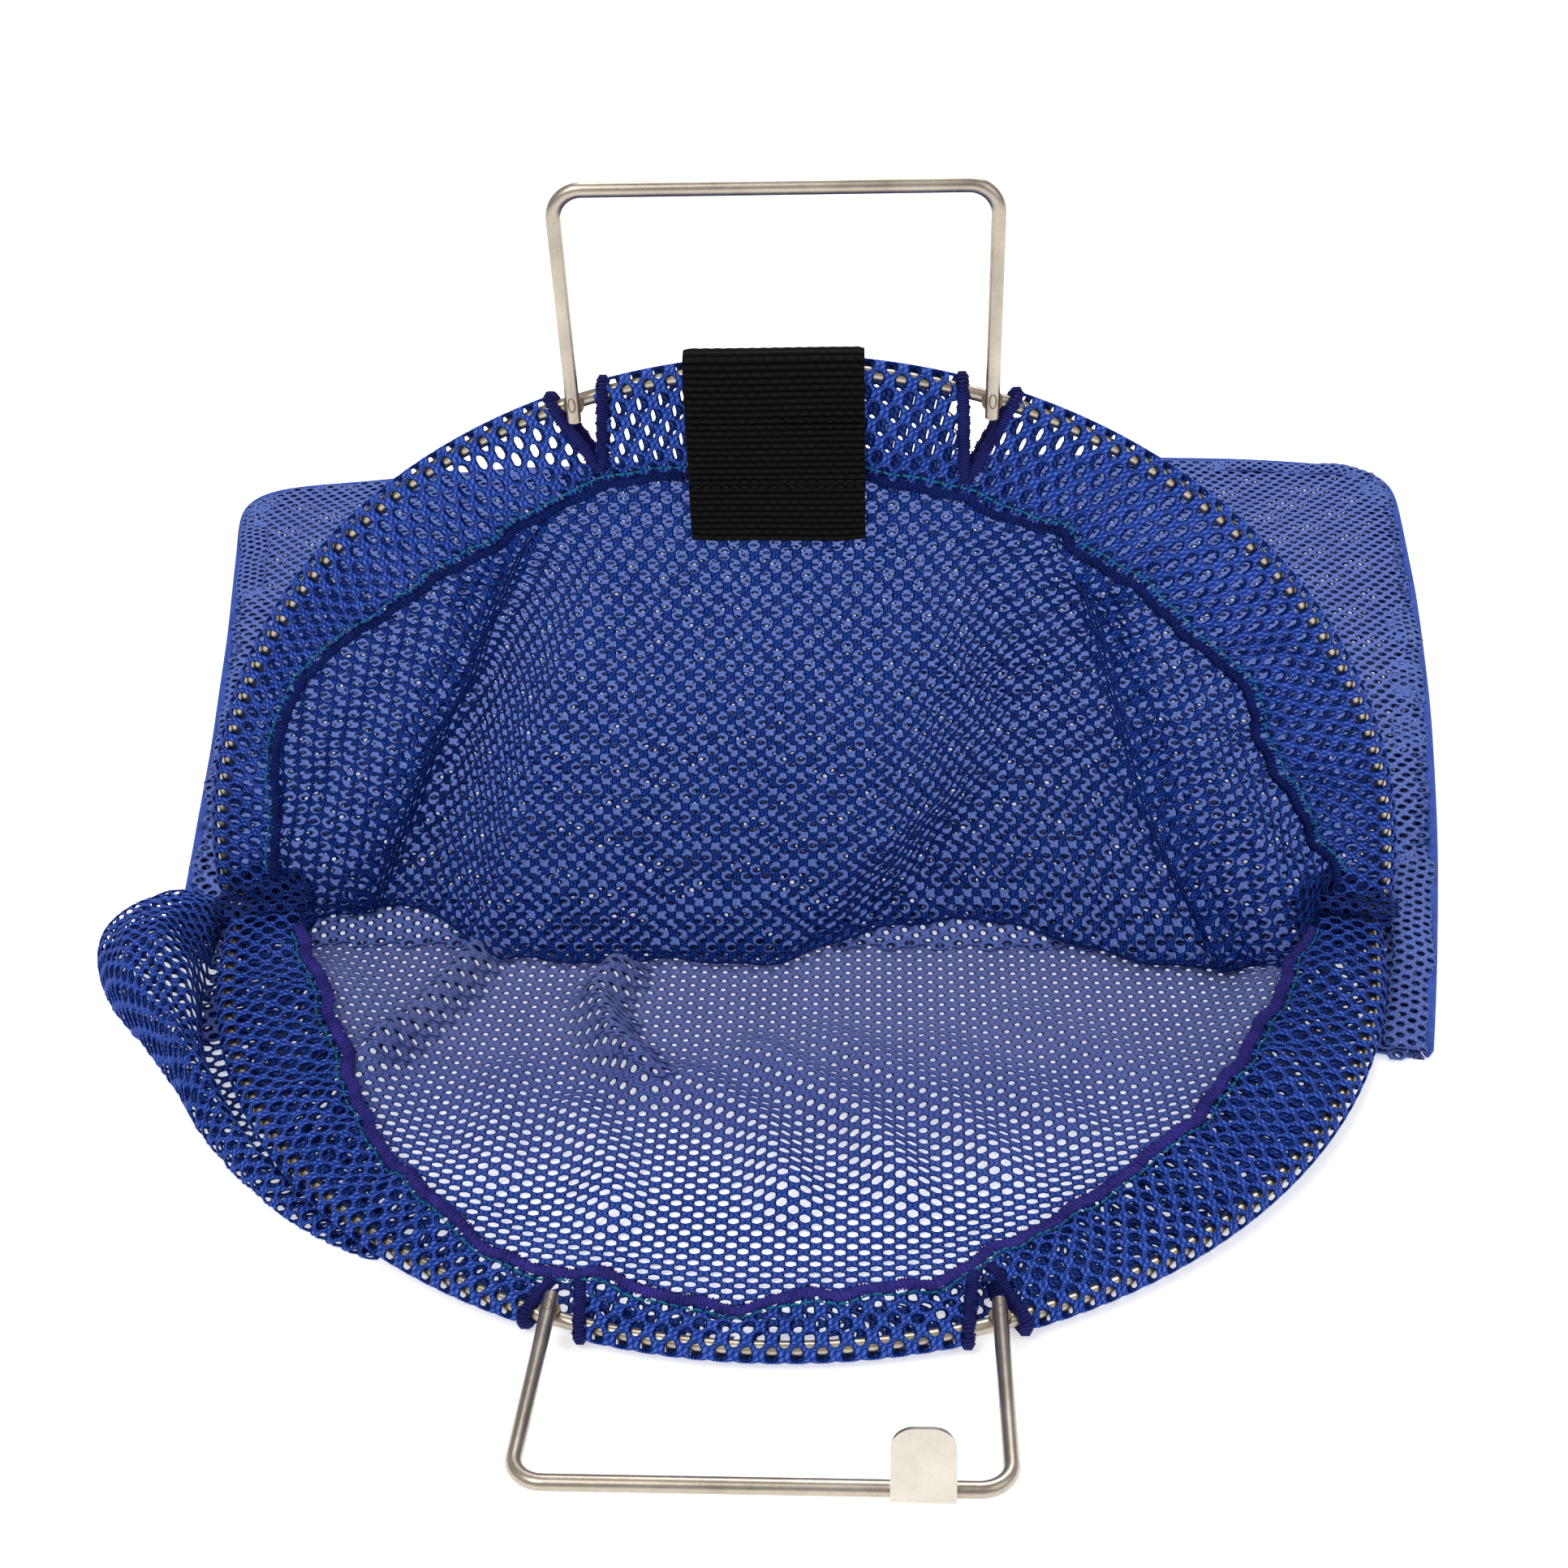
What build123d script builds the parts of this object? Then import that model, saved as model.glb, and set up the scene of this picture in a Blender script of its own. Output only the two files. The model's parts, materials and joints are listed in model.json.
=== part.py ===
from build123d import *
import os
from math import acos, cos, degrees, radians, sin, sqrt

os.makedirs("parts", exist_ok=True)

# Hinged wire-mouth mesh catch bag, mouth open. Millimetres, +Z up, z = 0 is the surface it lies on.
# X runs along the mouth hinge, +Y runs from the hinge to the closed end of the bag.

# Steel frame
rod_r = 2.0              # wire radius of hoops and handles
hinge_z = 12.0           # height of the hinge axis
tilt = 2.3               # the lower hoop falls this many degrees towards its handle
upper_r = 188.0          # upper half hoop, centre line
lower_r = 183.0          # lower half hoop, centre line: it nests inside the upper one
rod_from = 1.2           # degrees from the hinge to the end of the round wire
handle_w = 116.4         # handle legs, centre to centre
handle_h = 63.0          # weld to handle bar, centre to centre
bend_r = 8.0             # bend of the handle corners, centre line
leg_past = 4.0           # a handle leg runs this far past the hoop
leg_off = 2 * rod_r + 0.05
upper_cant = 4.0         # degrees a handle leans to the inside of the mouth
lower_cant = 10.0
weld_long = 2.9          # oval weld between a leg and its hoop
weld_wide = 2.7
weld_t = 2.0
weld_gap = 0.02
eye_r = 4.6              # flattened wire ends at the hinge
eye_t = 2.4
pin_r = 2.0
upper_pin_gap = 0.06     # the upper eyes turn on the pins
lower_pin_gap = 0.02     # the lower eyes hold them
head_r = 3.6
head_t = 1.5
head_gap = 0.1
head_chamfer = 0.5
washer_r = 3.8
washer_gap = 0.05

# Latch on the lower handle bar
latch_x0 = 30.0
latch_w = 15.2
latch_t = 1.1
latch_len = 18.0
latch_lean = 75.0        # degrees between its plate and the resting surface
latch_curl = 205.0       # degrees of the bar that it grips
latch_gap = 0.1
latch_corner = 5.5

# Hems
hem_w = 31.0             # depth of the hem that holds the wire
tube_r = 3.3             # hem round the wire, outside
bore_r = 2.3             # hem round the wire, inside
flap_t = 1.6             # double cloth below the wire
hem_start = 14.0         # degrees from the hinge to the first of the hem
notch_w = 17.0           # V cut of the hem at each handle leg
notch_d = 25.0
notch_flare = 1.6        # the V keeps widening over the wire
notch_above = 6.5
notch_lean = 4.1         # its tip leans towards the middle of the hoop
slit = 0.5               # slit below the tip
edge_t = 1.0             # overlocked and bound edges
edge_w = 2.6
edge_from = 20.0
binding_w = 2.1
binding_low = 4.2        # the bound edges stop this far below the wire
cloth_gap = 0.05

# Webbing tab over the upper hoop
web_w = 50.0
web_x = -2.0
web_t = 1.4
web_front = 51.5         # length of its leaves below the wire
web_rear = 40.0
web_gap = 0.35
web_fold_r = 1.2
stitch_rows = (0.36, 0.68)
stitch_w = 0.7
stitch_t = 0.35
stitch_edge = 1.5

# Cloth of the bag. Plan as it lies: sides a little bowed, closed end bowed outwards
floor_t = 1.0
cloth_t = 1.1
layer_gap = 0.3
seam_w = 15.0            # folded seam round the closed end
seam_t = 2.0
ear = (192, -62)         # right end of the seam, beside the mouth
right_mid = (230, 110)
right_far = (266, 372)
far_mid = (0, 390)
left_far = (-281, 352)
left_waist = (-238, 160)
left_front = (-198, -60)
far_corner_r = 28.0
lay_from = 8.0           # the upper cloth lies flat from this y to the closed end

# Upper cloth hanging from its hem: places across the mouth and depth of the soft folds there
folds = [
    (-160, 1.0), (-135, 8.0), (-112, 2.0), (-88, 10.0), (-62, 6.0), (-40, 0.0), (-4, -0.4),
    (32, 0.0), (52, 5.0), (76, 11.0), (100, 3.0), (124, 9.0), (142, 3.0), (160, 1.0),
]
bunch_r = 26.0           # bunched cloth beside each hinge
bunch_fillet = 8.0
bunch_gap = 0.7

# Loose fold outside the left of the ring: degrees from -X towards -Y, outer radius, height
fold_sections = [(-1, 238, 33), (8, 231, 39), (16, 222, 39), (26, 208, 22), (36, 198, 9)]
fold_in = upper_r + 5.5

far_off = 400.0          # larger than the bag, for trimming

# Local x across the mouth, local y from the hinge to the handle, local z to the inside of the mouth
ct = cos(radians(tilt))
st = sin(radians(tilt))
hinge = Vector(0, 0, hinge_z)
upper_plane = Plane(origin=hinge, x_dir=(1, 0, 0), z_dir=(0, -ct, -st))
lower_plane = Plane(origin=hinge, x_dir=(-1, 0, 0), z_dir=(0, -st, ct))
halves = {
    "upper": (upper_plane, upper_r, upper_cant, upper_pin_gap),
    "lower": (lower_plane, lower_r, lower_cant, lower_pin_gap),
}


def spoke(base, deg):
    """Plane through the hoop's axis: x outwards along the radius at deg, y along the base normal."""
    out = base.x_dir * cos(radians(deg)) + base.y_dir * sin(radians(deg))
    return Plane(origin=base.origin, x_dir=out, z_dir=out.cross(base.z_dir))


def across(x):
    """Plane square to the hinge axis at x, local x along +Y."""
    return Plane(origin=hinge + Vector(x, 0, 0), x_dir=(0, 1, 0), z_dir=(1, 0, 0))


def weld_y(radius):
    """Distance from the hinge axis to where the handle legs cross a hoop."""
    return sqrt(radius * radius - handle_w * handle_w / 4)


def handle_plane(base, radius, cant):
    """Plane of a handle: origin where its legs cross the hoop, x across, y out along the legs."""
    origin = base.origin + base.y_dir * weld_y(radius) + base.z_dir * leg_off
    normal = base.z_dir * cos(radians(cant)) - base.y_dir * sin(radians(cant))
    return Plane(origin=origin, x_dir=base.x_dir, z_dir=normal)


def notch_points(radius, side, grow):
    """Triangle of one V cut in the hoop's plane, grown outwards by grow."""
    top = weld_y(radius) + notch_above
    middle = side * handle_w / 2
    half = notch_w / 2 + grow + notch_flare
    tip_y = weld_y(radius) + tube_r - notch_d - grow * notch_flare
    return [(middle - half, top), (middle + half, top), (middle - side * notch_lean, tip_y)]


# ---------------------------------------------------------------- the two half frames and their hems
for half, (base, radius, cant, pin_gap) in halves.items():
    hoop_axis = Axis(hinge, base.z_dir)
    grip = handle_plane(base, radius, cant)
    legs = [grip.origin + grip.x_dir * (side * handle_w / 2) for side in (-1, 1)]

    with BuildPart() as hoop:
        with BuildSketch(spoke(base, rod_from)):
            with Locations((radius, 0)):
                Circle(rod_r)
        revolve(axis=hoop_axis, revolution_arc=180 - 2 * rod_from)
        for side in (-1, 1):
            with BuildSketch(across(side * radius)):
                Circle(eye_r)
            extrude(amount=eye_t / 2, both=True)
        for side in (-1, 1):
            with BuildSketch(across(side * radius)):
                Circle(pin_r + pin_gap)
            extrude(amount=eye_r, both=True, mode=Mode.SUBTRACT)
    hoop.part.label = f"{half}_hoop"
    export_step(hoop.part, f"parts/{half}_hoop.step")

    with BuildPart() as handle:
        with BuildLine(grip) as grip_path:
            FilletPolyline(
                (-handle_w / 2, -leg_past),
                (-handle_w / 2, handle_h),
                (handle_w / 2, handle_h),
                (handle_w / 2, -leg_past),
                radius=bend_r,
            )
        with BuildSketch(Plane(origin=grip_path.wire() @ 0, z_dir=grip_path.wire() % 0)):
            Circle(rod_r)
        sweep(path=grip_path.wire())
    handle.part.label = f"{half}_handle"
    export_step(handle.part, f"parts/{half}_handle.step")

    # Weld fillets: ovals between leg and hoop, less the wires themselves
    with BuildPart() as welds:
        for leg in legs:
            centre = leg - base.z_dir * (leg_off / 2)
            with BuildSketch(Plane(origin=centre, x_dir=(1, 0, 0), z_dir=base.z_dir)):
                Ellipse(weld_long, weld_wide)
            extrude(amount=weld_t / 2, both=True)
        with BuildSketch(spoke(base, 0)):
            with Locations((radius, 0)):
                Circle(rod_r + weld_gap)
        revolve(axis=hoop_axis, revolution_arc=180, mode=Mode.SUBTRACT)
        for leg in legs:
            with BuildSketch(Plane(origin=leg, x_dir=(1, 0, 0), z_dir=grip.y_dir)):
                Circle(rod_r + weld_gap)
            extrude(amount=2 * leg_past, both=True, mode=Mode.SUBTRACT)
    welds.part.label = f"{half}_welds"
    export_step(welds.part, f"parts/{half}_welds.step")

    # Doubled cloth round the wire, cut into three lengths by the V cuts at the handle legs
    with BuildPart() as hem:
        with BuildSketch(spoke(base, hem_start)):
            with Locations((radius, 0)):
                Circle(tube_r)
            with Locations((radius - hem_w / 2, 0)):
                Rectangle(hem_w, flap_t)
            with Locations((radius, 0)):
                Circle(bore_r, mode=Mode.SUBTRACT)
        revolve(axis=hoop_axis, revolution_arc=180 - 2 * hem_start)
        for side in (-1, 1):
            with BuildSketch(base):
                with BuildLine():
                    Polyline(*notch_points(radius, side, 0), close=True)
                make_face()
                tip_x, tip_y = notch_points(radius, side, 0)[2]
                with Locations((tip_x, tip_y + notch_flare)):
                    Rectangle(slit, hem_w, align=(Align.CENTER, Align.MAX))
            extrude(amount=2 * tube_r, both=True, mode=Mode.SUBTRACT)
    for place, solid in zip(("left", "mid", "right"), hem.solids().sort_by(Axis.X)):
        with BuildPart() as hem_length:
            add(solid)
        hem_length.part.label = f"{half}_hem_{place}"
        export_step(hem_length.part, f"parts/{half}_hem_{place}.step")

    # Overlocked edge of the hem, on the face that looks into the mouth
    edge_low = flap_t / 2 + cloth_gap
    with BuildPart() as edging:
        with BuildSketch(spoke(base, edge_from)):
            with Locations((radius - hem_w, edge_low)):
                Rectangle(edge_w, edge_t, align=Align.MIN)
        revolve(axis=hoop_axis, revolution_arc=180 - 2 * edge_from)
    edging.part.label = f"{half}_edging"
    export_step(edging.part, f"parts/{half}_edging.step")

    # Bound edges of the V cuts, clear of the tube round the wire and of the overlocked edge
    with BuildPart() as binding:
        for side in (-1, 1):
            with BuildSketch(base.offset(edge_low)):
                with BuildLine():
                    Polyline(*notch_points(radius, side, binding_w), close=True)
                make_face()
                with BuildLine():
                    Polyline(*notch_points(radius, side, cloth_gap), close=True)
                make_face(mode=Mode.SUBTRACT)
                with Locations((side * handle_w / 2, weld_y(radius) - binding_low)):
                    Rectangle(2 * hem_w, 2 * hem_w, align=(Align.CENTER, Align.MIN), mode=Mode.SUBTRACT)
            extrude(amount=edge_t)
        with BuildSketch(spoke(base, 0)):
            with Locations((radius, 0)):
                Circle(tube_r + layer_gap)
            with Locations((radius - hem_w, 0)):
                Rectangle(2 * (edge_w + layer_gap), 2 * tube_r)
        revolve(axis=hoop_axis, revolution_arc=180, mode=Mode.SUBTRACT)
    binding.part.label = f"{half}_notch_binding"
    export_step(binding.part, f"parts/{half}_notch_binding.step")

# ---------------------------------------------------------------- hinges
pin_in = lower_r - eye_t / 2 - head_gap
pin_out = upper_r + eye_t / 2 + head_gap

for name, side in (("left", -1), ("right", 1)):
    with BuildPart() as rivet:
        with BuildSketch(across(side * (pin_in - head_t))):
            Circle(pin_r)
        extrude(amount=side * (pin_out - pin_in + 2 * head_t))
        for start in (pin_in - head_t, pin_out):
            with BuildSketch(across(side * start)):
                Circle(head_r)
            extrude(amount=side * head_t)
        rims = rivet.edges().filter_by(GeomType.CIRCLE).sort_by(Axis.X)
        chamfer(rims[-1] if side > 0 else rims[0], length=head_chamfer)
    rivet.part.label = f"{name}_rivet"
    export_step(rivet.part, f"parts/{name}_rivet.step")

washer_in = lower_r + eye_t / 2 + washer_gap
washer_t = upper_r - lower_r - eye_t - 2 * washer_gap
with BuildPart() as hinge_washers:
    for side in (-1, 1):
        with BuildSketch(across(side * washer_in)):
            Circle(washer_r)
            Circle(pin_r + washer_gap, mode=Mode.SUBTRACT)
        extrude(amount=side * washer_t)
hinge_washers.part.label = "hinge_washers"
export_step(hinge_washers.part, "parts/hinge_washers.step")

# ---------------------------------------------------------------- latch: curl round the bar, flat plate
lower_grip = handle_plane(lower_plane, lower_r, lower_cant)
bar_at = lower_grip.origin + lower_grip.y_dir * handle_h
curl_r = rod_r + latch_gap + latch_t / 2
curl_from = latch_lean + 90
root_y = curl_r * cos(radians(curl_from))
root_z = curl_r * sin(radians(curl_from))
curl_plane = Plane(origin=(latch_x0, bar_at.Y, bar_at.Z), x_dir=(0, 1, 0), z_dir=(1, 0, 0))
plate_plane = Plane(
    origin=(latch_x0 + latch_w / 2, bar_at.Y + root_y, bar_at.Z + root_z),
    x_dir=(1, 0, 0),
    z_dir=(0, -sin(radians(latch_lean)), cos(radians(latch_lean))),
)

with BuildPart() as latch:
    with BuildSketch(curl_plane):
        with BuildLine():
            CenterArc((0, 0), curl_r, curl_from, latch_curl)
        trace(line_width=latch_t)
    extrude(amount=latch_w)
    with BuildSketch(plate_plane):
        Rectangle(latch_w, latch_len, align=(Align.CENTER, Align.MIN))
    extrude(amount=latch_t / 2, both=True)
    top_corners = latch.edges().filter_by(lambda e: abs(e.tangent_at(0.5).dot(plate_plane.z_dir)) > 0.99)
    fillet(top_corners.group_by(Axis.Z)[-1], latch_corner)
latch.part.label = "latch"
export_step(latch.part, "parts/latch.step")

# ---------------------------------------------------------------- webbing tab
web_in = tube_r + web_gap
web_top = upper_r + web_in
web_plane = Plane(origin=hinge + Vector(web_x - web_w / 2, 0, 0), x_dir=upper_plane.y_dir, z_dir=(1, 0, 0))
# Section: local x up the hoop's plane, local y to the back of it
with BuildPart() as webbing_tab:
    with BuildSketch(web_plane):
        with Locations((web_top, -web_in)):
            Rectangle(web_front + web_in, web_t, align=Align.MAX)
        with Locations((web_top, web_in)):
            Rectangle(web_rear + web_in, web_t, align=(Align.MAX, Align.MIN))
        with Locations((web_top, 0)):
            Rectangle(web_t, 2 * (web_in + web_t), align=(Align.MIN, Align.CENTER))
    extrude(amount=web_w)
    fillet(webbing_tab.edges().filter_by(Axis.X).group_by(Axis.Z)[-1], web_fold_r)
webbing_tab.part.label = "webbing_tab"
export_step(webbing_tab.part, "parts/webbing_tab.step")

with BuildPart() as webbing_stitching:
    with BuildSketch(upper_plane.offset(web_in + web_t + weld_gap)):
        with Locations(*[(web_x, web_top - row * (web_front + web_in)) for row in stitch_rows]):
            Rectangle(web_w - 2 * stitch_edge, stitch_w)
    extrude(amount=stitch_t)
webbing_stitching.part.label = "webbing_stitching"
export_step(webbing_stitching.part, "parts/webbing_stitching.step")

# ---------------------------------------------------------------- bag cloth
with BuildSketch() as bag_plan:
    with BuildLine():
        Polyline(left_far, left_waist, left_front, ear, right_mid, right_far)
        ThreePointArc(right_far, far_mid, left_far)
    make_face()
    fillet(bag_plan.vertices().sort_by(Axis.Y)[-2:], far_corner_r)

with BuildPart() as lower_panel:
    with BuildSketch():
        add(bag_plan.sketch)
        Circle(lower_r * ct)
    extrude(amount=floor_t)
lower_panel.part.label = "lower_panel"
export_step(lower_panel.part, "parts/lower_panel.step")

# The upper cloth where it lies on the lower one, inside the folded seam
lay_z = floor_t + layer_gap
with BuildPart() as upper_panel:
    with BuildSketch(Plane.XY.offset(lay_z)):
        offset(bag_plan.sketch, amount=-(seam_w + layer_gap), kind=Kind.INTERSECTION)
        with Locations((0, lay_from)):
            Rectangle(2 * far_off, far_off, align=(Align.CENTER, Align.MAX), mode=Mode.SUBTRACT)
    extrude(amount=cloth_t)
upper_panel.part.label = "upper_panel"
export_step(upper_panel.part, "parts/upper_panel.step")

# Folded seam from the ear, round the closed end, to the loose fold on the left
with BuildPart() as closed_end_seam:
    with BuildSketch(Plane.XY.offset(lay_z)):
        add(bag_plan.sketch)
        offset(bag_plan.sketch, amount=-seam_w, kind=Kind.INTERSECTION, mode=Mode.SUBTRACT)
        with Locations((0, lay_from)):
            Rectangle(far_off, far_off, align=Align.MAX, mode=Mode.SUBTRACT)
        Rectangle(2 * (ear[0] - seam_w / 2), 2 * seam_w - 2 * ear[1], mode=Mode.SUBTRACT)
        Circle(upper_r + cloth_gap * 10, mode=Mode.SUBTRACT)
    extrude(amount=seam_t)
closed_end_seam.part.label = "closed_end_seam"
export_step(closed_end_seam.part, "parts/closed_end_seam.step")

# The upper cloth where it hangs from its hem down to the lower cloth, in soft folds
hang_r = upper_r - hem_w - cloth_gap * 10
hang_low = lay_z + cloth_t + layer_gap
with BuildPart() as hanging_panel:
    with BuildSketch(Plane(origin=hinge, x_dir=(1, 0, 0), z_dir=upper_plane.y_dir)):
        with BuildLine():
            front = Spline(*[(x, -depth - cloth_t / 2) for x, depth in folds])
            rear = Spline(*[(x, -depth + cloth_t / 2) for x, depth in folds])
            Line(front @ 0, rear @ 0)
            Line(front @ 1, rear @ 1)
        make_face()
    extrude(amount=upper_r, both=True)
    with BuildSketch(upper_plane):
        Circle(hang_r)
    extrude(amount=hem_w, both=True, mode=Mode.INTERSECT)
    with BuildSketch(Plane.XY.offset(hang_low)):
        Rectangle(far_off, far_off)
    extrude(amount=-far_off, mode=Mode.SUBTRACT)
hanging_panel.part.label = "hanging_panel"
export_step(hanging_panel.part, "parts/hanging_panel.step")

# Bunched cloth beside each hinge, just inside the rivet
bunch_in = hang_r + bunch_gap
bunch_out = pin_in - head_t - bunch_gap
for name, side in (("left", -1), ("right", 1)):
    with BuildPart() as gather:
        with BuildSketch(across(side * bunch_in)):
            Circle(bunch_r)
        extrude(amount=side * (bunch_out - bunch_in))
        fillet(gather.edges().filter_by(GeomType.CIRCLE), bunch_fillet)
        with BuildSketch(Plane.XY.offset(hang_low)):
            Rectangle(far_off, far_off)
        extrude(amount=-far_off, mode=Mode.SUBTRACT)
    gather.part.label = f"{name}_gather"
    export_step(gather.part, f"parts/{name}_gather.step")

# Loose fold of cloth that stands outside the left of the ring: half ovals lofted along the ring
fold_plane = Plane(origin=(0, 0, lay_z), x_dir=(-1, 0, 0), z_dir=(0, 0, 1))
with BuildPart() as left_fold:
    for angle, fold_out, high in fold_sections:
        with BuildSketch(spoke(fold_plane, angle)):
            with Locations(((fold_in + fold_out) / 2, 0)):
                Ellipse((fold_out - fold_in) / 2, high)
            with Locations((fold_out, 0)):
                Rectangle(far_off, far_off, align=(Align.CENTER, Align.MAX), mode=Mode.SUBTRACT)
    loft()
left_fold.part.label = "left_fold"
export_step(left_fold.part, "parts/left_fold.step")
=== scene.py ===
"""Looks of the mesh catch bag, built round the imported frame. Surfaces are worked out in millimetres
and stored in metres."""

import json
from math import cos, pi, radians, sin

import bpy
import numpy as np
from mathutils import Matrix, Vector


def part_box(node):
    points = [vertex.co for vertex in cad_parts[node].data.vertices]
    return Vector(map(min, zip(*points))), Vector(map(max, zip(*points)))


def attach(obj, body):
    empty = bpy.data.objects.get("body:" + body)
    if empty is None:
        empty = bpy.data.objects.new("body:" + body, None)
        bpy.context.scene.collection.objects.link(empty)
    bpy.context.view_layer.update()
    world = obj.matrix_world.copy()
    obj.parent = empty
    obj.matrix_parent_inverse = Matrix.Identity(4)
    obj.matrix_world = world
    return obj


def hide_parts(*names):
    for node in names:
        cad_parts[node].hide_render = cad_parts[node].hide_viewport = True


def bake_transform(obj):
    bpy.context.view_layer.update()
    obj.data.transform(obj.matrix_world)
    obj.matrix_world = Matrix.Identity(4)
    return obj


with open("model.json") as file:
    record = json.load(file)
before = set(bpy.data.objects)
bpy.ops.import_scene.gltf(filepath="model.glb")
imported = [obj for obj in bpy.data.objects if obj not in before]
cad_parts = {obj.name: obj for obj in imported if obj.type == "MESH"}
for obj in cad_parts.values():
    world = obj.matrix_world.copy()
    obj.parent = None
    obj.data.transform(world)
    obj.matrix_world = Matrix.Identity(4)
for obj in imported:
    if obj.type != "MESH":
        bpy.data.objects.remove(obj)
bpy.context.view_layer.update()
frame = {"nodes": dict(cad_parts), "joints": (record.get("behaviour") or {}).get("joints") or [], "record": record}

MM = 0.001
ROOT, UPPER = "bag_and_lower_frame", "upper_frame"


# ---- what the CAD frame says, in mm
def box_mm(node):
    low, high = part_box(node)
    return np.array(low) / MM, np.array(high) / MM


mouth_joint = next(j for j in frame["joints"] if j["name"] == "mouth_hinge")
HINGE = np.array(mouth_joint["pos_m"]) / MM
EYE_T = 2.4             # thickness of the flattened eyes
ROD_R = 2.0             # the wire's radius
TILT = radians(2.3)     # how far the two hoops lean from upright and level
HEM_W = 31.0            # depth of the hems
HALF_HANDLE = 58.2      # from the middle to a handle leg
SEAM_W = 15.0           # depth of the seam round the closed end


class Hoop:
    """One half hoop: x across the mouth, y from the hinge to the handle, n to the inside of the mouth."""

    def __init__(self, node, x, y, n):
        low, high = box_mm(node)
        self.r = (high[0] - low[0] - EYE_T) / 2
        self.leg_y = np.sqrt(self.r**2 - HALF_HANDLE**2)     # where the handle legs meet the wire
        self.x, self.y, self.n = np.array(x, float), np.array(y, float), np.array(n, float)

    def flat(self, x, y, inner):
        """Points from plane coordinates and a height above the hoop's plane."""
        x, y, inner = np.broadcast_arrays(x, y, inner)
        return HINGE + x[..., None] * self.x + y[..., None] * self.y + inner[..., None] * self.n

    def at(self, angle, radius, inner):
        """Points at an angle in radians, a radius and a height above the hoop's plane."""
        return self.flat(radius * np.cos(angle), radius * np.sin(angle), inner)


CT, ST = cos(TILT), sin(TILT)
UP = Hoop("upper_hoop", (1, 0, 0), (0, -ST, CT), (0, -CT, -ST))
LOW = Hoop("lower_hoop", (-1, 0, 0), (0, -CT, -ST), (0, -ST, CT))


# ---- small maths
def smooth(t):
    t = np.clip(t, 0.0, 1.0)
    return t * t * (3 - 2 * t)


def curve(x, xs, ys):
    """Smooth curve through a few points: cubic pieces with slopes from the neighbouring points."""
    xs, ys = np.asarray(xs, float), np.asarray(ys, float)
    slopes = np.gradient(ys, xs)
    x = np.clip(x, xs[0], xs[-1])
    k = np.clip(np.searchsorted(xs, x) - 1, 0, len(xs) - 2)
    h = xs[k + 1] - xs[k]
    t = (x - xs[k]) / h
    a, b = ys[k], ys[k + 1]
    ma, mb = slopes[k] * h, slopes[k + 1] * h
    return ((2 * t**3 - 3 * t**2 + 1) * a + (t**3 - 2 * t**2 + t) * ma
            + (-2 * t**3 + 3 * t**2) * b + (t**3 - t**2) * mb)


def unit(v):
    """Rows of vectors brought to length one."""
    return v / np.maximum(np.linalg.norm(v, axis=-1, keepdims=True), 1e-9)


def run_along(path):
    """Length along a path up to each of its points."""
    return np.concatenate([[0], np.cumsum(np.linalg.norm(np.diff(path, axis=0), axis=1))])


def columns_at(s, run, rows):
    """Rows of values looked up at the lengths s."""
    return np.stack([np.interp(s, run, column) for column in rows.T], 1)


def resample(points, step):
    points = np.asarray(points, float)
    run = run_along(points)
    return columns_at(np.linspace(0, run[-1], int(run[-1] / step) + 1), run, points)


def soften(rows, window):
    """Moving average of rows, weighted by a window, the ends held."""
    window = window / window.sum()
    half = len(window) // 2
    return np.stack([np.convolve(np.pad(column, half, "edge"), window, "valid") for column in rows.T], 1)


def ridge(x, y, points, height, width):
    """Soft ridge along a polyline on the plan, fading out at both ends."""
    best = np.full(np.broadcast(x, y).shape, 1e9)
    along = np.zeros_like(best)
    total = sum(np.hypot(b[0] - a[0], b[1] - a[1]) for a, b in zip(points, points[1:]))
    run = 0.0
    for a, b in zip(points, points[1:]):
        dx, dy = b[0] - a[0], b[1] - a[1]
        length = np.hypot(dx, dy)
        t = np.clip(((x - a[0]) * dx + (y - a[1]) * dy) / length**2, 0, 1)
        d = np.hypot(x - a[0] - t * dx, y - a[1] - t * dy)
        along = np.where(d < best, (run + t * length) / total, along)
        best = np.minimum(best, d)
        run += length
    fade = smooth(along * 5) * smooth((1 - along) * 4)
    return height * fade * np.exp(-(best / width) ** 2)


def inside(x, y, ring):
    """True where a point is inside a closed polygon."""
    hit = np.zeros(np.shape(x), bool)
    for (x0, y0), (x1, y1) in zip(ring, np.roll(ring, -1, axis=0)):
        crosses = (y0 > y) != (y1 > y)
        with np.errstate(divide="ignore", invalid="ignore"):
            hit ^= crosses & (x < (x1 - x0) * (y - y0) / (y1 - y0) + x0)
    return hit


# ---- meshes
def add_object(name, data):
    obj = bpy.data.objects.new(name, data)
    bpy.context.scene.collection.objects.link(obj)
    return obj


def make_mesh(name, verts, faces, material, uvs=None):
    """Mesh from arrays: vertices in mm, quads as rows of four."""
    me = bpy.data.meshes.new(name)
    verts, faces = np.asarray(verts, np.float32) * MM, np.asarray(faces, np.int32)
    me.vertices.add(len(verts))
    me.vertices.foreach_set("co", verts.ravel())
    me.loops.add(faces.size)
    me.loops.foreach_set("vertex_index", faces.ravel())
    me.polygons.add(len(faces))
    me.polygons.foreach_set("loop_start", np.arange(0, faces.size, faces.shape[1], dtype=np.int32))
    me.update(calc_edges=True)
    me.polygons.foreach_set("use_smooth", np.ones(len(faces), bool))
    if uvs is not None:
        me.uv_layers.new(name="yarn").data.foreach_set("uv", np.asarray(uvs, np.float32).ravel())
    me.materials.append(material)
    return add_object(name, me)


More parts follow.
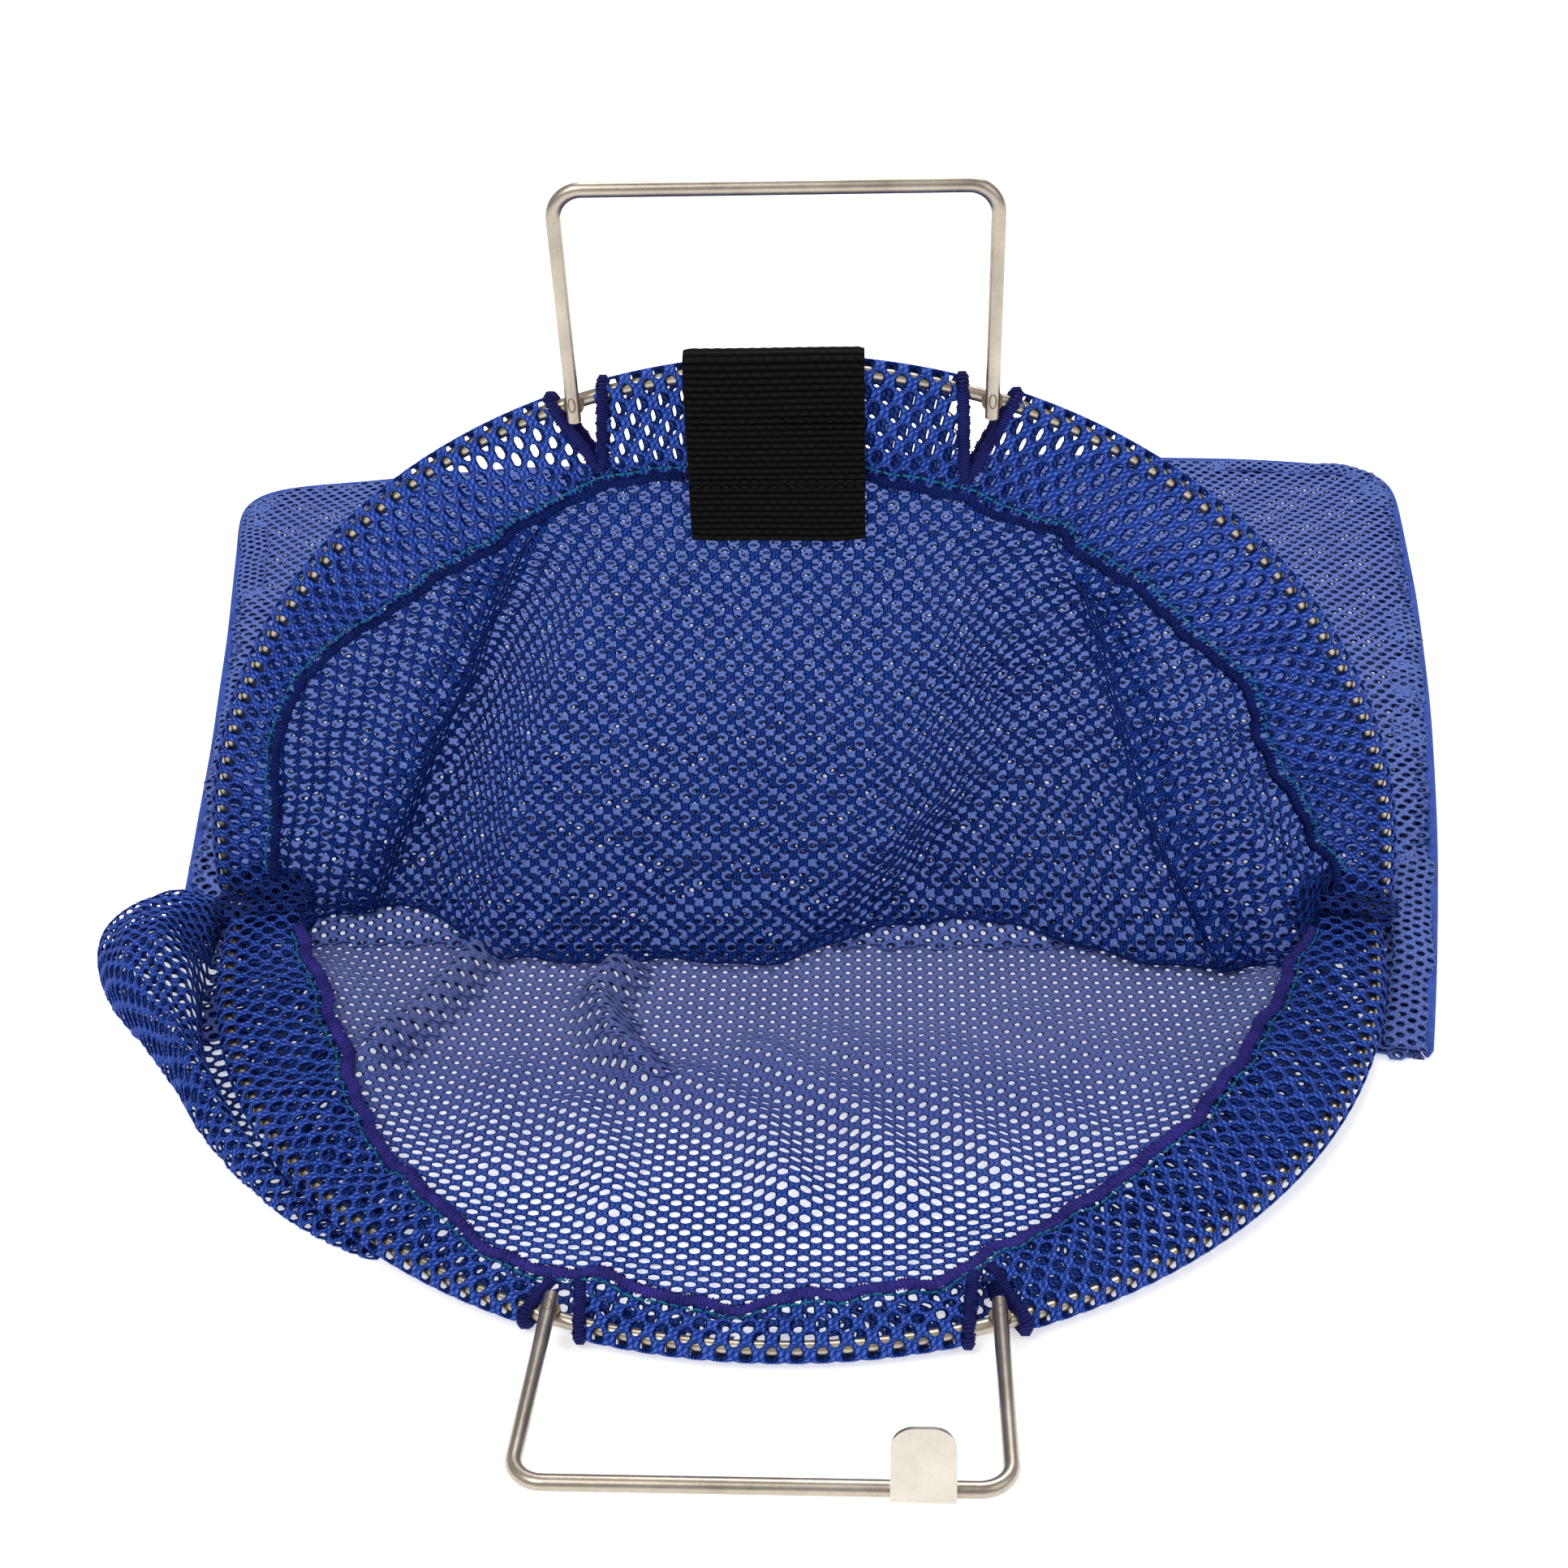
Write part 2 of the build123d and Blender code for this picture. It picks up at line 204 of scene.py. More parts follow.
def place(obj, body, slot, *nodes):
    """Puts a finished piece on a body and hides the CAD nodes it stands for. Its material slot is not used."""
    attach(obj, body)
    if nodes:
        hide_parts(*nodes)


def shell_grid(points, thick, normal):
    """Closed sheet of a given thickness over a grid of points: (verts, quads)."""
    rows, cols = points.shape[:2]
    top = (points + normal * thick / 2).reshape(-1, 3)
    low = (points - normal * thick / 2).reshape(-1, 3)
    count = rows * cols
    i, j = np.meshgrid(np.arange(rows - 1), np.arange(cols - 1), indexing="ij")
    a = (i * cols + j).ravel()
    quad = np.stack([a, a + cols, a + cols + 1, a + 1], 1)
    faces = [quad, quad[:, ::-1] + count]
    index = np.arange(count).reshape(rows, cols)
    rim = np.concatenate([index[0], index[1:, -1], index[-1, -2::-1], index[-2:0:-1, 0]])
    nxt = np.roll(rim, -1)
    faces.append(np.stack([rim, nxt, nxt + count, rim + count], 1))
    return np.concatenate([top, low]), np.concatenate(faces)


def grid_normals(points):
    du = np.gradient(points, axis=0)
    dv = np.gradient(points, axis=1)
    return unit(np.cross(du, dv))


# the ten corners of a honeycomb cell, in quarters of a pitch across and sixths of one up
RING = np.array([(0, 4), (1, 3), (2, 2), (2, -2), (1, -3), (0, -4), (-1, -3), (-2, -2), (-2, 2), (-1, 3)])


def net(surface, u_range, v_range, keep, pitch, thick=0.9, rich=True, turn=0.0, hole=(0.235, 0.56),
        openness=None):
    """Knitted net over surface(u, v), one oval hole in each honeycomb cell: (verts, quads, uvs, flat area).
    keep(u, v) says which cells are cloth, turn rotates the knit on the surface, hole is the hole's half size
    as shares of the pitch, and openness(u, v) scales it. A rich net has a raised yarn in two bands."""
    p, q = pitch
    reach = np.hypot(max(map(abs, u_range)), max(map(abs, v_range))) if turn else 0
    span = [(-reach, reach), (-reach, reach)] if turn else [u_range, v_range]
    i = np.arange(int(span[0][0] // p) - 1, int(span[0][1] // p) + 2)
    j = np.arange(int(span[1][0] // q) - 1, int(span[1][1] // q) + 2)
    i, j = (g.ravel() for g in np.meshgrid(i, j))
    cx, cy = 4 * i + 2 * (j % 2), 6 * j
    c, s = cos(turn), sin(turn)

    def turned(gx, gy):
        return gx * c - gy * s, gx * s + gy * c

    u, v = turned(cx * p / 4, cy * q / 6)
    ok = (u >= u_range[0]) & (u <= u_range[1]) & (v >= v_range[0]) & (v <= v_range[1])
    ok &= keep(u, v)
    cx, cy = cx[ok], cy[ok]
    n = len(cx)
    bx, by = cx[:, None] + RING[:, 0], cy[:, None] + RING[:, 1]
    key = (bx - bx.min()).astype(np.int64) * 1000000 + (by - by.min())
    _, first, index = np.unique(key, return_index=True, return_inverse=True)
    index = index.reshape(n, 10)
    gx, gy = cx * p / 4, cy * q / 6
    angle = np.arctan2(RING[:, 1] * q / 6, RING[:, 0] * p / 4)
    edge_x, edge_y = bx.ravel()[first] * p / 4, by.ravel()[first] * q / 6
    open_share = openness(*turned(gx, gy))[:, None] if openness else 1.0
    hole_x = gx[:, None] + p * hole[0] * open_share * np.cos(angle)
    hole_y = gy[:, None] + q * hole[1] * open_share * np.sin(angle)

    def lay(x, y):
        """Points and normals of the surface."""
        x, y = turned(np.ravel(x), np.ravel(y))
        e = 0.5
        nrm = np.cross(surface(x + e, y) - surface(x - e, y), surface(x, y + e) - surface(x, y - e))
        return surface(x, y), unit(nrm)

    rim_at, rim_n = lay(edge_x, edge_y)
    hole_at, _ = lay(hole_x, hole_y)
    m = len(rim_at)
    crest = thick * (0.15 if rich else 0.5)
    verts = [rim_at + rim_n * crest, rim_at - rim_n * crest, hole_at]
    hole_i = 2 * m + np.arange(n * 10).reshape(n, 10)
    if rich:
        mid_at, mid_n = lay((bx * p / 4 + hole_x) / 2, (by * q / 6 + hole_y) / 2)
        verts += [mid_at + mid_n * thick / 2, mid_at - mid_n * thick / 2]
        mid_i, low_i = hole_i + n * 10, hole_i + n * 20
        bands = [(index, mid_i, 1.0, 0.5), (mid_i, hole_i, 0.5, 0.0)]
        backs = [(index + m, low_i, 1.0, 0.5), (low_i, hole_i, 0.5, 0.0)]
    else:
        bands = [(index, hole_i, 1.0, 0.0)]
        backs = [(index + m, hole_i, 1.0, 0.0)]
    k = np.arange(10) / 10
    faces, uvs = [], []
    for group, front in ((bands, True), (backs, False)):
        for outer, inner, ro, ri in group:
            o2, i2 = np.roll(outer, -1, 1), np.roll(inner, -1, 1)
            quad = np.stack([o2, outer, inner, i2], 2).reshape(-1, 4)
            corners = ((k + 0.1, ro), (k, ro), (k, ri), (k + 0.1, ri))
            uv = np.stack([np.stack([at, np.full(10, r)], 1) for at, r in corners], 1)
            uv = np.broadcast_to(uv, (n, 10, 4, 2)).reshape(-1, 4, 2)
            faces.append(quad if front else quad[:, ::-1])
            uvs.append(uv if front else uv[:, ::-1])
    a, b = index.ravel(), np.roll(index, -1, 1).ravel()
    pair = np.minimum(a, b).astype(np.int64) * m + np.maximum(a, b)
    _, start, count = np.unique(pair, return_index=True, return_counts=True)
    a, b = a[start[count == 1]], b[start[count == 1]]
    faces.append(np.stack([a, b, b + m, a + m], 1))
    uvs.append(np.full((len(a), 4, 2), 1.0))
    return np.concatenate(verts), np.concatenate(faces), np.concatenate(uvs), n * p * q


def net_object(name, patches, material, second=None, among=()):
    """One object of several net patches, and its flat area in square metres. The patches listed in among
    are of the second knit."""
    verts, faces, uvs, slots, area, base = [], [], [], [], 0.0, 0
    for k, (v, f, t, a) in enumerate(patches):
        verts.append(v)
        faces.append(f + base)
        uvs.append(t)
        slots.append(np.full(len(f), int(k in among), np.int32))
        base += len(v)
        area += a
    obj = make_mesh(name, np.concatenate(verts), np.concatenate(faces), material, np.concatenate(uvs))
    if second:
        obj.data.materials.append(second)
        obj.data.polygons.foreach_set("material_index", np.concatenate(slots))
    return obj, area * MM * MM


def tube_mesh(paths, radius, sides, up, squash=1.0):
    """Tubes along paths of points, their capped ends narrowed: (verts, quads)."""
    verts, faces, base = [], [], 0
    turn = np.arange(sides) * 2 * pi / sides
    for path in paths:
        path = np.asarray(path, float)
        tangent = unit(np.gradient(path, axis=0))
        side = unit(np.cross(tangent, np.broadcast_to(np.asarray(up, float), path.shape)))
        high = np.cross(side, tangent)
        size = np.full(len(path), float(radius))
        size[0] = size[-1] = radius * 0.35
        ring = (path[:, None] + size[:, None, None] * (np.cos(turn)[None, :, None] * side[:, None]
                + squash * np.sin(turn)[None, :, None] * high[:, None]))
        n = len(path)
        verts.append(ring.reshape(-1, 3))
        i, j = np.meshgrid(np.arange(n - 1), np.arange(sides), indexing="ij")
        i, j = i.ravel() * sides, j.ravel()
        k = (j + 1) % sides
        faces.append(base + np.stack([i + j, i + k, i + sides + k, i + sides + j], 1))
        for end in (0, n - 1):
            for s in range(sides // 2 - 1):
                cap = end * sides + np.array([[s, s + 1, sides - 2 - s, sides - 1 - s]])
                faces.append(base + (cap if end else cap[:, ::-1]))
        base += n * sides
    return np.concatenate(verts), np.concatenate(faces)


# ---- materials
def feed(nt, n, values):
    """Links outputs to a node's inputs, or sets the inputs to plain values."""
    for key, value in values.items():
        if isinstance(value, bpy.types.NodeSocket):
            nt.links.new(value, n.inputs[key])
        else:
            n.inputs[key].default_value = value
    return n


def math(nt, op, a, b=0.0, c=0.0):
    n = nt.nodes.new("ShaderNodeMath")
    n.operation = op
    return feed(nt, n, {0: a, 1: b, 2: c}).outputs[0]


def mul(nt, a, b):
    return math(nt, "MULTIPLY", a, b)


def scaled(nt, a, by, plus):
    return math(nt, "MULTIPLY_ADD", a, by, plus)


def ramp(nt, fac, stops):
    n = feed(nt, nt.nodes.new("ShaderNodeValToRGB"), {0: fac})
    e = n.color_ramp.elements
    while len(e) < len(stops):
        e.new(0.5)
    for item, (at, colour) in zip(e, stops):
        item.position = at
        item.color = (*colour, 1)
    return n.outputs[0]


def mix(nt, fac, a, b):
    n = nt.nodes.new("ShaderNodeMix")
    n.data_type = "RGBA"
    return feed(nt, n, {0: fac, 6: a, 7: b}).outputs[2]


def split(nt, vector):
    return feed(nt, nt.nodes.new("ShaderNodeSeparateXYZ"), {0: vector}).outputs


def yarn_coords(nt):
    """The map laid down with the meshes. On the knit: way round a hole, and 0 to 1 outwards from it."""
    n = nt.nodes.new("ShaderNodeUVMap")
    n.uv_map = "yarn"
    return split(nt, n.outputs[0])


def new_material(name):
    m = bpy.data.materials.new(name)
    m.use_nodes = True
    nt = m.node_tree
    return m, nt, nt.nodes["Principled BSDF"]


def noise(nt, scale, detail, coords, rough=0.5):
    values = {"Scale": scale, "Detail": detail, "Roughness": rough, "Vector": coords}
    return feed(nt, nt.nodes.new("ShaderNodeTexNoise"), values).outputs["Fac"]


def object_coords(nt):
    return nt.nodes.new("ShaderNodeTexCoord").outputs["Object"]


def bump(nt, bsdf, height, distance, strength):
    values = {"Distance": distance, "Strength": strength, "Height": height}
    feed(nt, bsdf, {"Normal": feed(nt, nt.nodes.new("ShaderNodeBump"), values).outputs[0]})


SHADE_FADE_FROM, SHADE_FADE_TO = -0.125, -0.055     # y in metres, across the front of the floor of the mouth, where the painted shade and haze of the floor's knit fade in


def knit_material(name, dark, body, light, rear_shade_tints=None):
    """Twisted yarn round each hole, with a groove between neighbouring rings. Its colour is painted shade and
    highlight: dark in the grooves and at the holes' edges, light on the crests and twists of the yarn. The last
    argument is a second set of three tints that the knit fades to behind the front of the mouth, painted shade and
    haze over the rear of the floor."""
    m, nt, bsdf = new_material(name)
    around, ring, _ = yarn_coords(nt)
    coords = object_coords(nt)
    stray = noise(nt, 900, 2, coords)
    strand = math(nt, "SINE", mul(nt, math(nt, "SUBTRACT", ring, 0.04), 2.9))
    lean = math(nt, "ADD", mul(nt, ring, 5.0), mul(nt, stray, 6.0))
    twist = math(nt, "SINE", math(nt, "ADD", mul(nt, around, 2 * pi * 13), lean))
    lobe = scaled(nt, twist, 0.5, 0.5)
    level = mul(nt, strand, scaled(nt, lobe, 0.65, 0.35))
    wide = noise(nt, 55, 3, coords)
    level = scaled(nt, math(nt, "SUBTRACT", wide, 0.5), 0.35, level)
    steps = (0.0, 0.38, 0.95)
    # the ramp paints shade into the grooves and a highlight onto the crests and twists of the yarn
    colour = ramp(nt, level, list(zip(steps, (dark, body, light))))
    # behind the front of the mouth the knit fades to greyer tints: painted shade and haze over the rear of the
    # floor
    if rear_shade_tints:
        values = {"Value": split(nt, coords)[1], "From Min": SHADE_FADE_FROM, "From Max": SHADE_FADE_TO}
        fade = feed(nt, nt.nodes.new("ShaderNodeMapRange"), values)
        colour = mix(nt, fade.outputs[0], colour, ramp(nt, level, list(zip(steps, rear_shade_tints))))
    feed(nt, bsdf, {"Base Color": colour, "Roughness": scaled(nt, stray, 0.25, 0.38),
                    "Specular IOR Level": 0.05})
    bump(nt, bsdf, mul(nt, strand, scaled(nt, lobe, 0.5, 0.5)), 0.0004, 0.8)
    return m


def thread_material(name, dark, light, scale=1400):
    """Fuzzy twisted thread."""
    m, nt, bsdf = new_material(name)
    coords = object_coords(nt)
    fine = noise(nt, scale, 3, coords, 0.6)
    wide = noise(nt, 120, 2, coords)
    level = scaled(nt, wide, 0.5, mul(nt, fine, 0.6))
    feed(nt, bsdf, {"Base Color": ramp(nt, level, [(0.35, dark), (0.8, light)]),
                    "Roughness": scaled(nt, fine, 0.3, 0.45), "Specular IOR Level": 0.1})
    bump(nt, bsdf, fine, 0.0003, 0.8)
    return m


def steel_material(name, dark, light, rough=0.3, scale=300):
    """Drawn stainless wire: fine streaks, faint stains and handling marks."""
    m, nt, bsdf = new_material(name)
    coords = object_coords(nt)
    fine = noise(nt, scale * 6, 4, coords, 0.7)
    stain = noise(nt, scale / 4, 4, coords, 0.6)
    level = scaled(nt, fine, 0.35, mul(nt, stain, 0.65))
    feed(nt, bsdf, {"Base Color": ramp(nt, level, [(0.3, dark), (0.7, light)]), "Metallic": 1.0,
                    "Roughness": scaled(nt, level, 0.22, rough - 0.08)})
    bump(nt, bsdf, fine, 0.00004, 0.5)
    return m


def webbing_material():
    """Black polypropylene webbing: matt, with a painted highlight, a soft shine in the colour on the crests of the
    ribs.
    """
    m, nt, bsdf = new_material("webbing_black")
    fine = noise(nt, 1600, 3, object_coords(nt), 0.6)
    level = mul(nt, yarn_coords(nt)[0], scaled(nt, fine, 0.8, 0.4))
    # painted highlight: the colour lightens on the crests of the ribs
    colour = ramp(nt, level, [(0.3, (0.0002, 0.0002, 0.0002)), (0.95, (0.011, 0.0102, 0.0098))])
    feed(nt, bsdf, {"Base Color": colour, "Roughness": scaled(nt, fine, 0.3, 0.55),
                    "Specular IOR Level": 0.05})
    bump(nt, bsdf, fine, 0.0002, 0.7)
    return m


def floor_material():
    m, nt, bsdf = new_material("pale_floor")
    grain = noise(nt, 40, 4, object_coords(nt))
    colour = ramp(nt, grain, [(0.3, (0.93, 0.93, 0.93)), (0.7, (0.95, 0.95, 0.95))])
    feed(nt, bsdf, {"Base Color": colour, "Roughness": 0.75, "Emission Color": (1, 1, 1, 1),
                    "Emission Strength": 0.5})
    return m


# tints of the knit: painted shade in the grooves, the yarn's own blue, and painted highlight on the lit yarn
BLUES = (0.001, 0.009, 0.085), (0.008, 0.042, 0.29), (0.085, 0.16, 0.60)
# darker copy of the knit for the bunches at the hinges: painted shade
SHADED_BUNCH_BLUES = (0.001, 0.003, 0.028), (0.005, 0.018, 0.14), (0.045, 0.09, 0.36)
# darker copy of the knit for the hanging cloth: painted shade
HANGING_SHADED_BLUES = (0.001, 0.007, 0.07), (0.003, 0.025, 0.20), (0.02, 0.075, 0.38)
# paler copy of the knit for the cloth at the rear: painted light, the haze of light coming up through the net
LIT_PALE_BLUES = (0.04, 0.075, 0.30), (0.09, 0.145, 0.46), (0.18, 0.255, 0.64)
# greyer rear tints of the floor knit: painted shade and haze
FLOOR_SHADE_BLUES = (0.05, 0.065, 0.22), (0.105, 0.135, 0.39), (0.20, 0.235, 0.50)
KNIT = knit_material("knit_blue", *BLUES)
KNIT_BUNCH_SHADED = knit_material("knit_blue_bunched_painted_shade", *SHADED_BUNCH_BLUES)
KNIT_HANGING_SHADED = knit_material("knit_blue_hanging_painted_shade", *HANGING_SHADED_BLUES)
KNIT_PALE_LIT = knit_material("knit_blue_pale_painted_light", *LIT_PALE_BLUES)
KNIT_FLOOR_SHADED = knit_material("knit_blue_floor_painted_shade", *BLUES, rear_shade_tints=FLOOR_SHADE_BLUES)
EDGE_CORD = thread_material("seam_edge_blue", (0.014, 0.045, 0.26), (0.06, 0.125, 0.50), 900)
OVERLOCK_NAVY = thread_material("overlock_navy", (0.001, 0.005, 0.05), (0.008, 0.024, 0.20))
VIOLET = thread_material("overlock_violet", (0.010, 0.010, 0.10), (0.065, 0.052, 0.38))
BINDING = thread_material("binding_navy", (0.004, 0.005, 0.055), (0.022, 0.026, 0.20))
TEAL = thread_material("stitch_teal", (0.004, 0.07, 0.16), (0.02, 0.30, 0.42), 2500)
BLACK_THREAD = thread_material("stitch_black", (0.002, 0.002, 0.002), (0.015, 0.015, 0.016), 2500)
WIRE = steel_material("wire_steel", (0.33, 0.28, 0.225), (0.60, 0.53, 0.44))
PLATE = steel_material("latch_steel", (0.52, 0.48, 0.41), (0.74, 0.70, 0.62))
WELD = steel_material("weld_tint", (0.13, 0.085, 0.055), (0.33, 0.25, 0.17), 0.5, 900)
WEBBING = webbing_material()


# ---- plan of the bag
EAR, RIGHT_MID, RIGHT_FAR, FAR_MID = (192, -62), (230, 110), (266, 372), (0, 390)
LEFT_FAR, LEFT_WAIST, LEFT_FRONT = (-281, 352), (-238, 160), (-198, -60)
FAR_CORNER = 56.0


def arc_through(a, b, c, count):
    """Points on the circle through a, b and c, from a to c."""
    (ax, ay), (bx, by), (cx, cy) = a, b, c
    d = 2 * (ax * (by - cy) + bx * (cy - ay) + cx * (ay - by))
    ux = ((ax**2 + ay**2) * (by - cy) + (bx**2 + by**2) * (cy - ay) + (cx**2 + cy**2) * (ay - by)) / d
    uy = ((ax**2 + ay**2) * (cx - bx) + (bx**2 + by**2) * (ax - cx) + (cx**2 + cy**2) * (bx - ax)) / d
    r = np.hypot(ax - ux, ay - uy)
    t = np.unwrap([np.arctan2(y - uy, x - ux) for x, y in (a, b, c)])
    t = np.interp(np.linspace(0, 2, count), [0, 1, 2], t)
    return np.stack([ux + r * np.cos(t), uy + r * np.sin(t)], 1)


def rounded(points, radius):
    """Softens an open polyline's corners by averaging over a window about the radius wide."""
    step = 2.0
    p = resample(points, step)
    out = soften(p, np.hanning(2 * int(radius / step) + 3)[1:-1])
    out[0], out[-1] = p[0], p[-1]
    return out


def bag_edge():
    """Edge of the bag from the ear, round the closed end, to the front of the left side."""
    right = arc_through(EAR, RIGHT_MID, RIGHT_FAR, 60)
    far = arc_through(RIGHT_FAR, FAR_MID, LEFT_FAR, 60)
    left = arc_through(LEFT_FAR, LEFT_WAIST, LEFT_FRONT, 60)
    return rounded(np.concatenate([right, far, left]), FAR_CORNER)


EDGE = bag_edge()


def inset(path, depth):
    """The same path moved inwards, to its left."""
    tangent = unit(np.gradient(path, axis=0))
    return path + depth * np.stack([-tangent[:, 1], tangent[:, 0]], 1)


CLOTH_EDGE = inset(EDGE, 4.0)     # the panels stop inside the folded seam


# ---- hems
def hem_section():
    """Section of a hem: from the seam along the inner leaf, round the wire, back along the outer leaf."""
    leaf = [(-HEM_W, 0.9), (-27, 2.0), (-20, 3.1), (-13, 3.4), (-6, 3.2)]
    turn = np.radians(np.arange(105, -106, -15))
    wire = [(2.85 * cos(t), 2.85 * sin(t)) for t in turn]
    pts = np.array(leaf + wire + [(x, -y) for x, y in leaf[::-1]])
    return resample(pts, 0.5)


SECTION = hem_section()
SECTION_S = run_along(SECTION)
HEM_LEN = SECTION_S[-1]
HEM_ROWS = 16.5     # half a row more than a whole number, so that the two leaves are out of step
WIRE_S = HEM_LEN / 2


# Where the seam of each hem runs: degrees round the hoop and radius. The cloth is gathered, so it wanders.
UPPER_SEAM = [(0, 172), (7, 171), (10, 164), (15, 161), (21, 157), (26, 155), (31, 161), (38, 156), (47, 155),
              (57.5, 151), (59.5, 157), (67, 155), (90, 157), (112, 161), (121, 158), (131, 160), (141, 167),
              (149, 173), (158, 173), (167, 169), (180, 170)]
LOWER_SEAM = [(0, 167), (4, 163), (15, 153), (27, 151), (35, 155), (42, 160), (49, 162), (61, 170), (67, 172),
              (73, 170), (86, 172), (100, 168), (108, 165), (116, 158), (128, 153), (148, 151), (158, 152),
              (169, 157), (180, 168)]


def seam_table(points):
    """Seam radius for every tenth of a degree, its corners softened."""
    knots, radii = zip(*points)
    fine = np.interp(np.arange(0, 180.05, 0.1), knots, radii)
    return soften(fine[:, None], np.hanning(19))[:, 0]


UPPER_SEAM_R, LOWER_SEAM_R = seam_table(UPPER_SEAM), seam_table(LOWER_SEAM)


def seam_radius(hoop, angle):
    table = UPPER_SEAM_R if hoop is UP else LOWER_SEAM_R
    return np.interp(np.degrees(angle) * 10, np.arange(len(table)), table)


def drawn_in(hoop, angle):
    """How much of its width the hem keeps where it is gathered."""
    return np.clip((hoop.r - 4 - seam_radius(hoop, angle)) / (HEM_W - 4), 0.8, 1.1)


def seam_s(hoop, angle):
    """Length across the section where the hem ends in its seam."""
    out = -4 + (seam_radius(hoop, angle) - hoop.r + 4) / drawn_in(hoop, angle)
    half = len(SECTION) // 2
    return np.interp(out, SECTION[:half, 0], SECTION_S[:half])


def hem_point(hoop, angle, s, phase=0.0):
    """Point of a hem at an angle and a length across its section, with the leaves puckered along the seam."""
    out = np.interp(s, SECTION_S, SECTION[:, 0])
    up = np.interp(s, SECTION_S, SECTION[:, 1])
    loose = smooth(-out / 14) * smooth((out + HEM_W + 2) / 12)
    ripple = (1.5 * np.sin(angle * 19 + phase) + 1.0 * np.sin(angle * 43 + 2.1 * phase + out * 0.12)
              + 0.5 * np.sin(angle * 77 + phase * 3 - out * 0.2))
    quiet = 1 - 0.9 * np.exp(-((angle - pi / 2) / radians(10)) ** 2) if hoop is UP else 1.0
    near = 1 - 0.5 * np.exp(-(np.minimum(angle, pi - angle) / radians(16)) ** 2)
    up = up + quiet * loose * ripple * near * np.where(s < WIRE_S, 1.0, 0.7)
    share = drawn_in(hoop, angle)
    up = up * (1 + 0.9 * loose * (1 - share))
    reach = np.where(out < -4, -4 + (out + 4) * share, out)
    frill = 0.7 * np.sin(angle * 31 + phase) + 0.5 * np.sin(angle * 67 + phase)
    reach = reach + quiet * smooth((-out - 18) / 13) * frill
    return hoop.at(angle, hoop.r + reach, up)


# V cut round a handle leg: reach to both sides of it at the wire, how far the tip leans inwards, depth, and
# the gap to the first whole mesh
V_TOP_IN, V_TOP_OUT, V_TIP, V_DEEP, V_GAP = 8.0, 7.0, 6.6, 25.0, 0.8


def v_sides(hoop, side, y):
    """Inner and outer x of the V cut at a height y in the hoop's plane."""
    t = np.clip((y - (hoop.leg_y - V_DEEP)) / V_DEEP, 0, 1.35)
    inner = HALF_HANDLE - V_TIP + (V_TIP - V_TOP_IN) * t
    outer = HALF_HANDLE - V_TIP + (V_TIP + V_TOP_OUT) * t
    return side * inner, side * outer


def outside_v(hoop, angle, s):
    """True where a point of a hem is clear of both V cuts."""
    out = np.interp(s, SECTION_S, SECTION[:, 0])
    r = hoop.r + out
    x, y = r * np.cos(angle), r * np.sin(angle)
    keep = np.ones(x.shape, bool)
    for side in (-1, 1):
        a, b = v_sides(hoop, side, y)
        lo, hi = np.minimum(a, b) - V_GAP, np.maximum(a, b) + V_GAP
        keep &= ~((x > lo) & (x < hi) & (y > hoop.leg_y - V_DEEP))
    return keep


EDGE_IN = 1.2       # the cloth ends this far short of the seam's line, under the overlock


def build_hems(hoop, label, body, phase):
    """The three lengths of a hem: between a hinge and a handle leg on each side, and between the legs."""
    r_mid = hoop.r - 9.0
    leg = np.arccos(HALF_HANDLE / hoop.r)
    first = radians(2.5)
    # x runs along hoop.x, so the side with small angles is right on the upper hoop and left on the lower one
    small, large = ("right", "left") if hoop is UP else ("left", "right")
    spans = {small: (first, leg), "mid": (leg, pi - leg), large: (pi - leg, pi - first)}

    def surface(u, v):
        return hem_point(hoop, pi - u / r_mid, v, phase)

    for name, (a0, a1) in spans.items():
        def keep(u, v):
            angle = pi - u / r_mid
            cut = seam_s(hoop, angle) + EDGE_IN
            in_span = (angle >= a0) & (angle < a1)
            return outside_v(hoop, angle, v) & in_span & (v > cut) & (v < HEM_LEN - cut)

        patch = net(surface, (0, pi * r_mid), (0, HEM_LEN), keep, pitch=(6.1, HEM_LEN / HEM_ROWS))
        obj, area = net_object(f"{label}_hem_cloth_{name}", [patch], KNIT)
        place(obj, body, "mesh", f"{label}_hem_{name}")


# ---- hanging cloth
TURN_R = 6.0      # radius of the fold where the hanging cloth meets the floor
LAY_Z = 2.5       # height of the upper cloth where it lies
SEAM_D = -1.5     # depth at which the cloth leaves the hem
ROWS_Z = [3, 54, 90, 125, 162]


def row(z, *values):
    """A value that changes with height, given for each of ROWS_Z."""
    return np.interp(z, ROWS_Z, values)


def tuck_left(z):
    return np.interp(z, [3, 55, 77, 97, 122, 146, 165], [-141, -118, -108, -96, -87, -73, -60])


def tuck_right(z):
    return np.interp(z, [0, 54, 100, 141, 165], [134, 106, 93, 80, 72])


def to_seam(x, z):
    """Distance from the seam of the upper hem, inwards."""
    high = z - HINGE[2]
    return seam_radius(UP, np.arctan2(np.maximum(high, 0), x)) - np.hypot(x, high)


def ripples(x, z):
    fan = x / (60 + 0.62 * (170 - z))
    return (1.5 * np.sin(fan * 21 + 0.6) + 0.8 * np.sin(fan * 43 + z * 0.03)) * smooth((168 - z) / 45)


